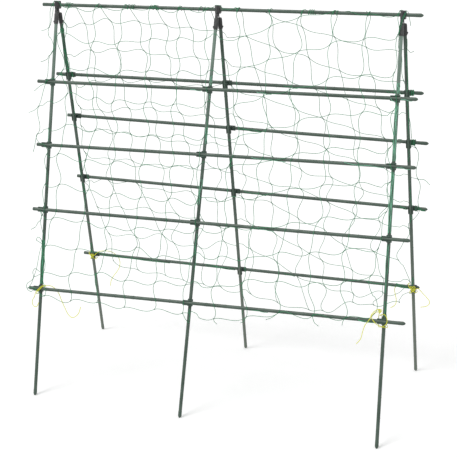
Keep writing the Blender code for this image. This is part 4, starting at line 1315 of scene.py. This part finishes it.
grain, inside, leaving = new_group(
    "grain", (("Scale", "NodeSocketFloat", 900.0), ("Depth", "NodeSocketFloat", 1.0)),
    "Height", "NodeSocketFloat")
grain.links.new(maths(grain, "MULTIPLY", noise(grain, inside.outputs["Scale"], 2.0),
                      inside.outputs["Depth"]), leaving.inputs[0])

dust, inside, leaving = new_group(
    "dust", (("Amount", "NodeSocketFloat", 0.3), ("Scale", "NodeSocketFloat", 60.0)),
    "Mask", "NodeSocketFloat")
facing = dust.nodes.new("ShaderNodeNewGeometry")
split = dust.nodes.new("ShaderNodeSeparateXYZ")
dust.links.new(facing.outputs["Normal"], split.inputs[0])
upward = ranged(dust, split.outputs["Z"], 0.35, 1.0)
speckle = ranged(dust, noise(dust, inside.outputs["Scale"], 5.0, 0.7), 0.42, 0.68)
dust.links.new(maths(dust, "MULTIPLY", maths(dust, "MULTIPLY", upward, speckle),
                     inside.outputs["Amount"]), leaving.inputs[0])

twist, inside, leaving = new_group(
    "twist", (("Turns", "NodeSocketFloat", 60.0),), "Strand", "NodeSocketFloat")
place = twist.nodes.new("ShaderNodeTexCoord")
split = twist.nodes.new("ShaderNodeSeparateXYZ")
twist.links.new(place.outputs["UV"], split.inputs[0])
wound = maths(twist, "ADD", maths(twist, "MULTIPLY", split.outputs["X"], inside.outputs["Turns"]),
              split.outputs["Y"])
wave = maths(twist, "SINE", maths(twist, "MULTIPLY", wound, 4 * math.pi), 0.0)
twist.links.new(ranged(twist, wave, -1.0, 1.0), leaving.inputs[0])
print([group.name for group in (mottle, grain, dust, twist)])

# %% [markdown]
# A finish is then one shader with these groups in front of it. Its plain values,
# such as the specular level, sit on the shader's own sockets.

# %% Build a finish
DUST_COLOUR = (0.34, 0.33, 0.29)


def use_group(tree, group, **values):
    node = tree.nodes.new("ShaderNodeGroup")
    node.node_tree = group
    for title, value in values.items():
        socket = node.inputs[title]
        if isinstance(value, (tuple, float)):
            socket.default_value = (*value, 1.0) if isinstance(value, tuple) else value
        else:
            tree.links.new(value, socket)
    return node.outputs[0]


def new_finish(name, dark, light, patch, grain_scale, bump_depth, gloss, dust_amount,
               turns=0.0, strand_dark=None, fade=None, **plain):
    """A procedural finish: mottled colour, dust, uneven gloss and a fine bump; a twist also paints
    shade into its grooves.

    A fade is the height where it starts, the height where it is full, and its colour.
    """
    material = bpy.data.materials.new(name)
    material.use_nodes = True
    tree = material.node_tree
    shader = tree.nodes["Principled BSDF"]
    colour = use_group(tree, mottle, Dark=dark, Light=light, Scale=patch)
    height = use_group(tree, grain, Scale=grain_scale, Depth=1.0)
    if fade:
        spot = tree.nodes.new("ShaderNodeSeparateXYZ")
        tree.links.new(tree.nodes.new("ShaderNodeTexCoord").outputs["Object"], spot.inputs[0])
        fade_share = ranged(tree, spot.outputs["Z"], fade[0], fade[1])
        colour = mixed(tree, fade_share, colour, fade[2])
    # A twist darkens its grooves, where the bump is low, with the darker strand colour: painted shade
    # between the strands.
    if turns:
        strand = use_group(tree, twist, Turns=turns)
        colour = mixed(tree, strand, strand_dark, colour)
        height = maths(tree, "ADD", maths(tree, "MULTIPLY", height, 0.25), strand)
    settled = use_group(tree, dust, Amount=dust_amount, Scale=patch * 2.5)
    tree.links.new(mixed(tree, settled, colour, DUST_COLOUR), shader.inputs["Base Color"])
    rub = noise(tree, patch * 1.7, 4.0, 0.6)
    tree.links.new(ranged(tree, rub, 0.3, 0.7, *gloss), shader.inputs["Roughness"])
    bump = tree.nodes.new("ShaderNodeBump")
    bump.inputs["Strength"].default_value = 0.6
    bump.inputs["Distance"].default_value = bump_depth
    tree.links.new(height, bump.inputs["Height"])
    tree.links.new(bump.outputs["Normal"], shader.inputs["Normal"])
    for title, value in plain.items():
        shader.inputs[title.replace("_", " ")].default_value = value
    return material


# %% The finishes of this trellis
def coat_finish(name, fade=None):
    """The stakes' plastic coat, optionally faded to another colour between two heights."""
    return new_finish(name, (0.044, 0.076, 0.056), (0.078, 0.118, 0.092), patch=22.0,
                      grain_scale=1400.0, bump_depth=0.00006, gloss=(0.34, 0.52),
                      dust_amount=0.22, fade=fade, Specular_IOR_Level=0.5)


def clip_finish(name, dark, light):
    return new_finish(name, dark, light, patch=90.0, grain_scale=2200.0, bump_depth=0.00004,
                      gloss=(0.38, 0.55), dust_amount=0.18, Specular_IOR_Level=0.45)


def fitting_finish(name, dark, light):
    return new_finish(name, dark, light, patch=120.0, grain_scale=2500.0, bump_depth=0.00005,
                      gloss=(0.30, 0.50), dust_amount=0.22, Specular_IOR_Level=0.5)


def string_finish(name, dark, light, **more):
    return new_finish(name, dark, light, grain_scale=3000.0, bump_depth=0.0002,
                      dust_amount=0.0, **more)


FINISH = {
    "stake": coat_finish("green_coat"),
    # Front legs turn a lighter grey towards the top, back legs a lighter grey-green towards the
    # bottom.
    "leg_front": coat_finish("green_coat_front_leg", (0.70, 1.12, (0.180, 0.255, 0.210))),
    "leg_back": coat_finish("green_coat_back_leg", (0.62, 0.20, (0.150, 0.180, 0.150))),
    # The clips are one green plastic; the back clips take a darker copy of it, which is painted shade.
    "clip_front": clip_finish("clip_plastic_front", (0.030, 0.066, 0.047), (0.050, 0.100, 0.074)),
    "clip_back": clip_finish("clip_plastic_painted_shade", (0.020, 0.042, 0.031), (0.036, 0.068, 0.050)),
    # The fittings are one black plastic: the front copy is lighter, painted light where light falls on
    # it, and the back copy darker, painted shade.
    "fitting_front": fitting_finish("fitting_plastic_painted_lit", (0.036, 0.038, 0.038),
                                    (0.070, 0.073, 0.072)),
    "fitting_back": fitting_finish("fitting_plastic_painted_shade", (0.014, 0.015, 0.015),
                                   (0.034, 0.036, 0.035)),
    # The net string darkens its twist grooves: painted shade.
    "net": string_finish("net_string", (0.032, 0.245, 0.105), (0.095, 0.450, 0.225),
                         patch=14.0, gloss=(0.42, 0.60), turns=500.0,
                         strand_dark=(0.018, 0.170, 0.070), Specular_IOR_Level=0.4),
    "net_pale": string_finish("net_string_pale", (0.040, 0.260, 0.125), (0.100, 0.440, 0.235),
                              patch=14.0, gloss=(0.42, 0.60),
                              fade=(0.46, 0.66, (0.230, 0.580, 0.390)), Specular_IOR_Level=0.4),
    # The knot green is darker than the string: painted shade in the whipped turns.
    "net_knot_painted_shade": string_finish("net_knot_painted_shade", (0.010, 0.110, 0.050), (0.026, 0.210, 0.100),
                              patch=200.0, gloss=(0.50, 0.66), Specular_IOR_Level=0.3),
    # The cord's darker yellow in its twist grooves is painted shade.
    "cord": new_finish("tie_cord", (0.880, 0.880, 0.030), (0.950, 0.970, 0.080), patch=60.0,
                       grain_scale=2600.0, bump_depth=0.0004, gloss=(0.50, 0.66),
                       dust_amount=0.0, turns=40.0, strand_dark=(0.700, 0.700, 0.020),
                       Specular_IOR_Level=0.4)}
for kind, group in pieces.items():
    for piece in group:
        piece.data.materials.append(FINISH[kind])
    print(kind, len(group), "pieces in", FINISH[kind].name)
# The second slot, for the knots, is a darker green: painted shade in the whipped turns.
net.data.materials.append(FINISH["net_knot_painted_shade"])

# %% [markdown]
# ## The studio
# A pale floor runs back past the horizon, so that it is also the backdrop. Seen
# by the camera it is white and glows a little, as a studio floor does that is lit
# until it leaves the picture blank. To the light it is a plain pale grey. The
# light is soft: an even white sky and one wide sun from the upper left.

# %% Floor
FLOOR_REACH = 60.0
FLOOR_STEPS = 96
FLOOR_GREYS = ((0.90, 0.90, 0.90), (0.93, 0.93, 0.93))
FLOOR_GLOW = (0.16, 0.16, 0.16)
shape = bmesh.new()
bmesh.ops.create_circle(shape, cap_ends=True, segments=FLOOR_STEPS, radius=FLOOR_REACH)
floor = bpy.data.objects.new("floor", shape_mesh(shape, "floor"))
bpy.context.scene.collection.objects.link(floor)
floor_finish = bpy.data.materials.new("pale_floor")
floor_finish.use_nodes = True
floor_tree = floor_finish.node_tree
floor_shader = floor_tree.nodes["Principled BSDF"]
floor_shader.inputs["Roughness"].default_value = 0.9
floor_shader.inputs["Specular IOR Level"].default_value = 0.1
cloudy = ranged(floor_tree, noise(floor_tree, 1.5), 0.3, 0.7)
grey = mixed(floor_tree, cloudy, *FLOOR_GREYS)
looked_at = floor_tree.nodes.new("ShaderNodeLightPath").outputs["Is Camera Ray"]
floor_tree.links.new(mixed(floor_tree, looked_at, grey, (1.0, 1.0, 1.0)),
                     floor_shader.inputs["Base Color"])
floor_tree.links.new(mixed(floor_tree, looked_at, (0.0, 0.0, 0.0), FLOOR_GLOW),
                     floor_shader.inputs["Emission Color"])
floor_shader.inputs["Emission Strength"].default_value = 1.0
floor.data.materials.append(floor_finish)

# %% Light
SKY = 0.62
SUN = 1.25
SUN_WIDTH = math.radians(25.0)
SUN_TURN = (math.radians(38.0), 0.0, math.radians(-35.0))
world = bpy.data.worlds.new("sky")
bpy.context.scene.world = world
world.use_nodes = True
sky = world.node_tree
rays = sky.nodes.new("ShaderNodeLightPath")
seen = maths(sky, "MAXIMUM", rays.outputs["Is Camera Ray"],
             maths(sky, "MAXIMUM", rays.outputs["Is Glossy Ray"],
                   rays.outputs["Is Transmission Ray"]))
sky.links.new(ranged(sky, seen, 0.0, 1.0, SKY, 1.0), sky.nodes["Background"].inputs["Strength"])
sky.nodes["Background"].inputs["Color"].default_value = (1.0, 1.0, 1.0, 1.0)
sun_data = bpy.data.lights.new("sun", "SUN")
sun_data.energy = SUN
sun_data.angle = SUN_WIDTH
sun = bpy.data.objects.new("sun", sun_data)
sun.rotation_euler = SUN_TURN
bpy.context.scene.collection.objects.link(sun)
bpy.context.scene.view_settings.view_transform = "Standard"
print("sky", SKY, "sun", SUN)
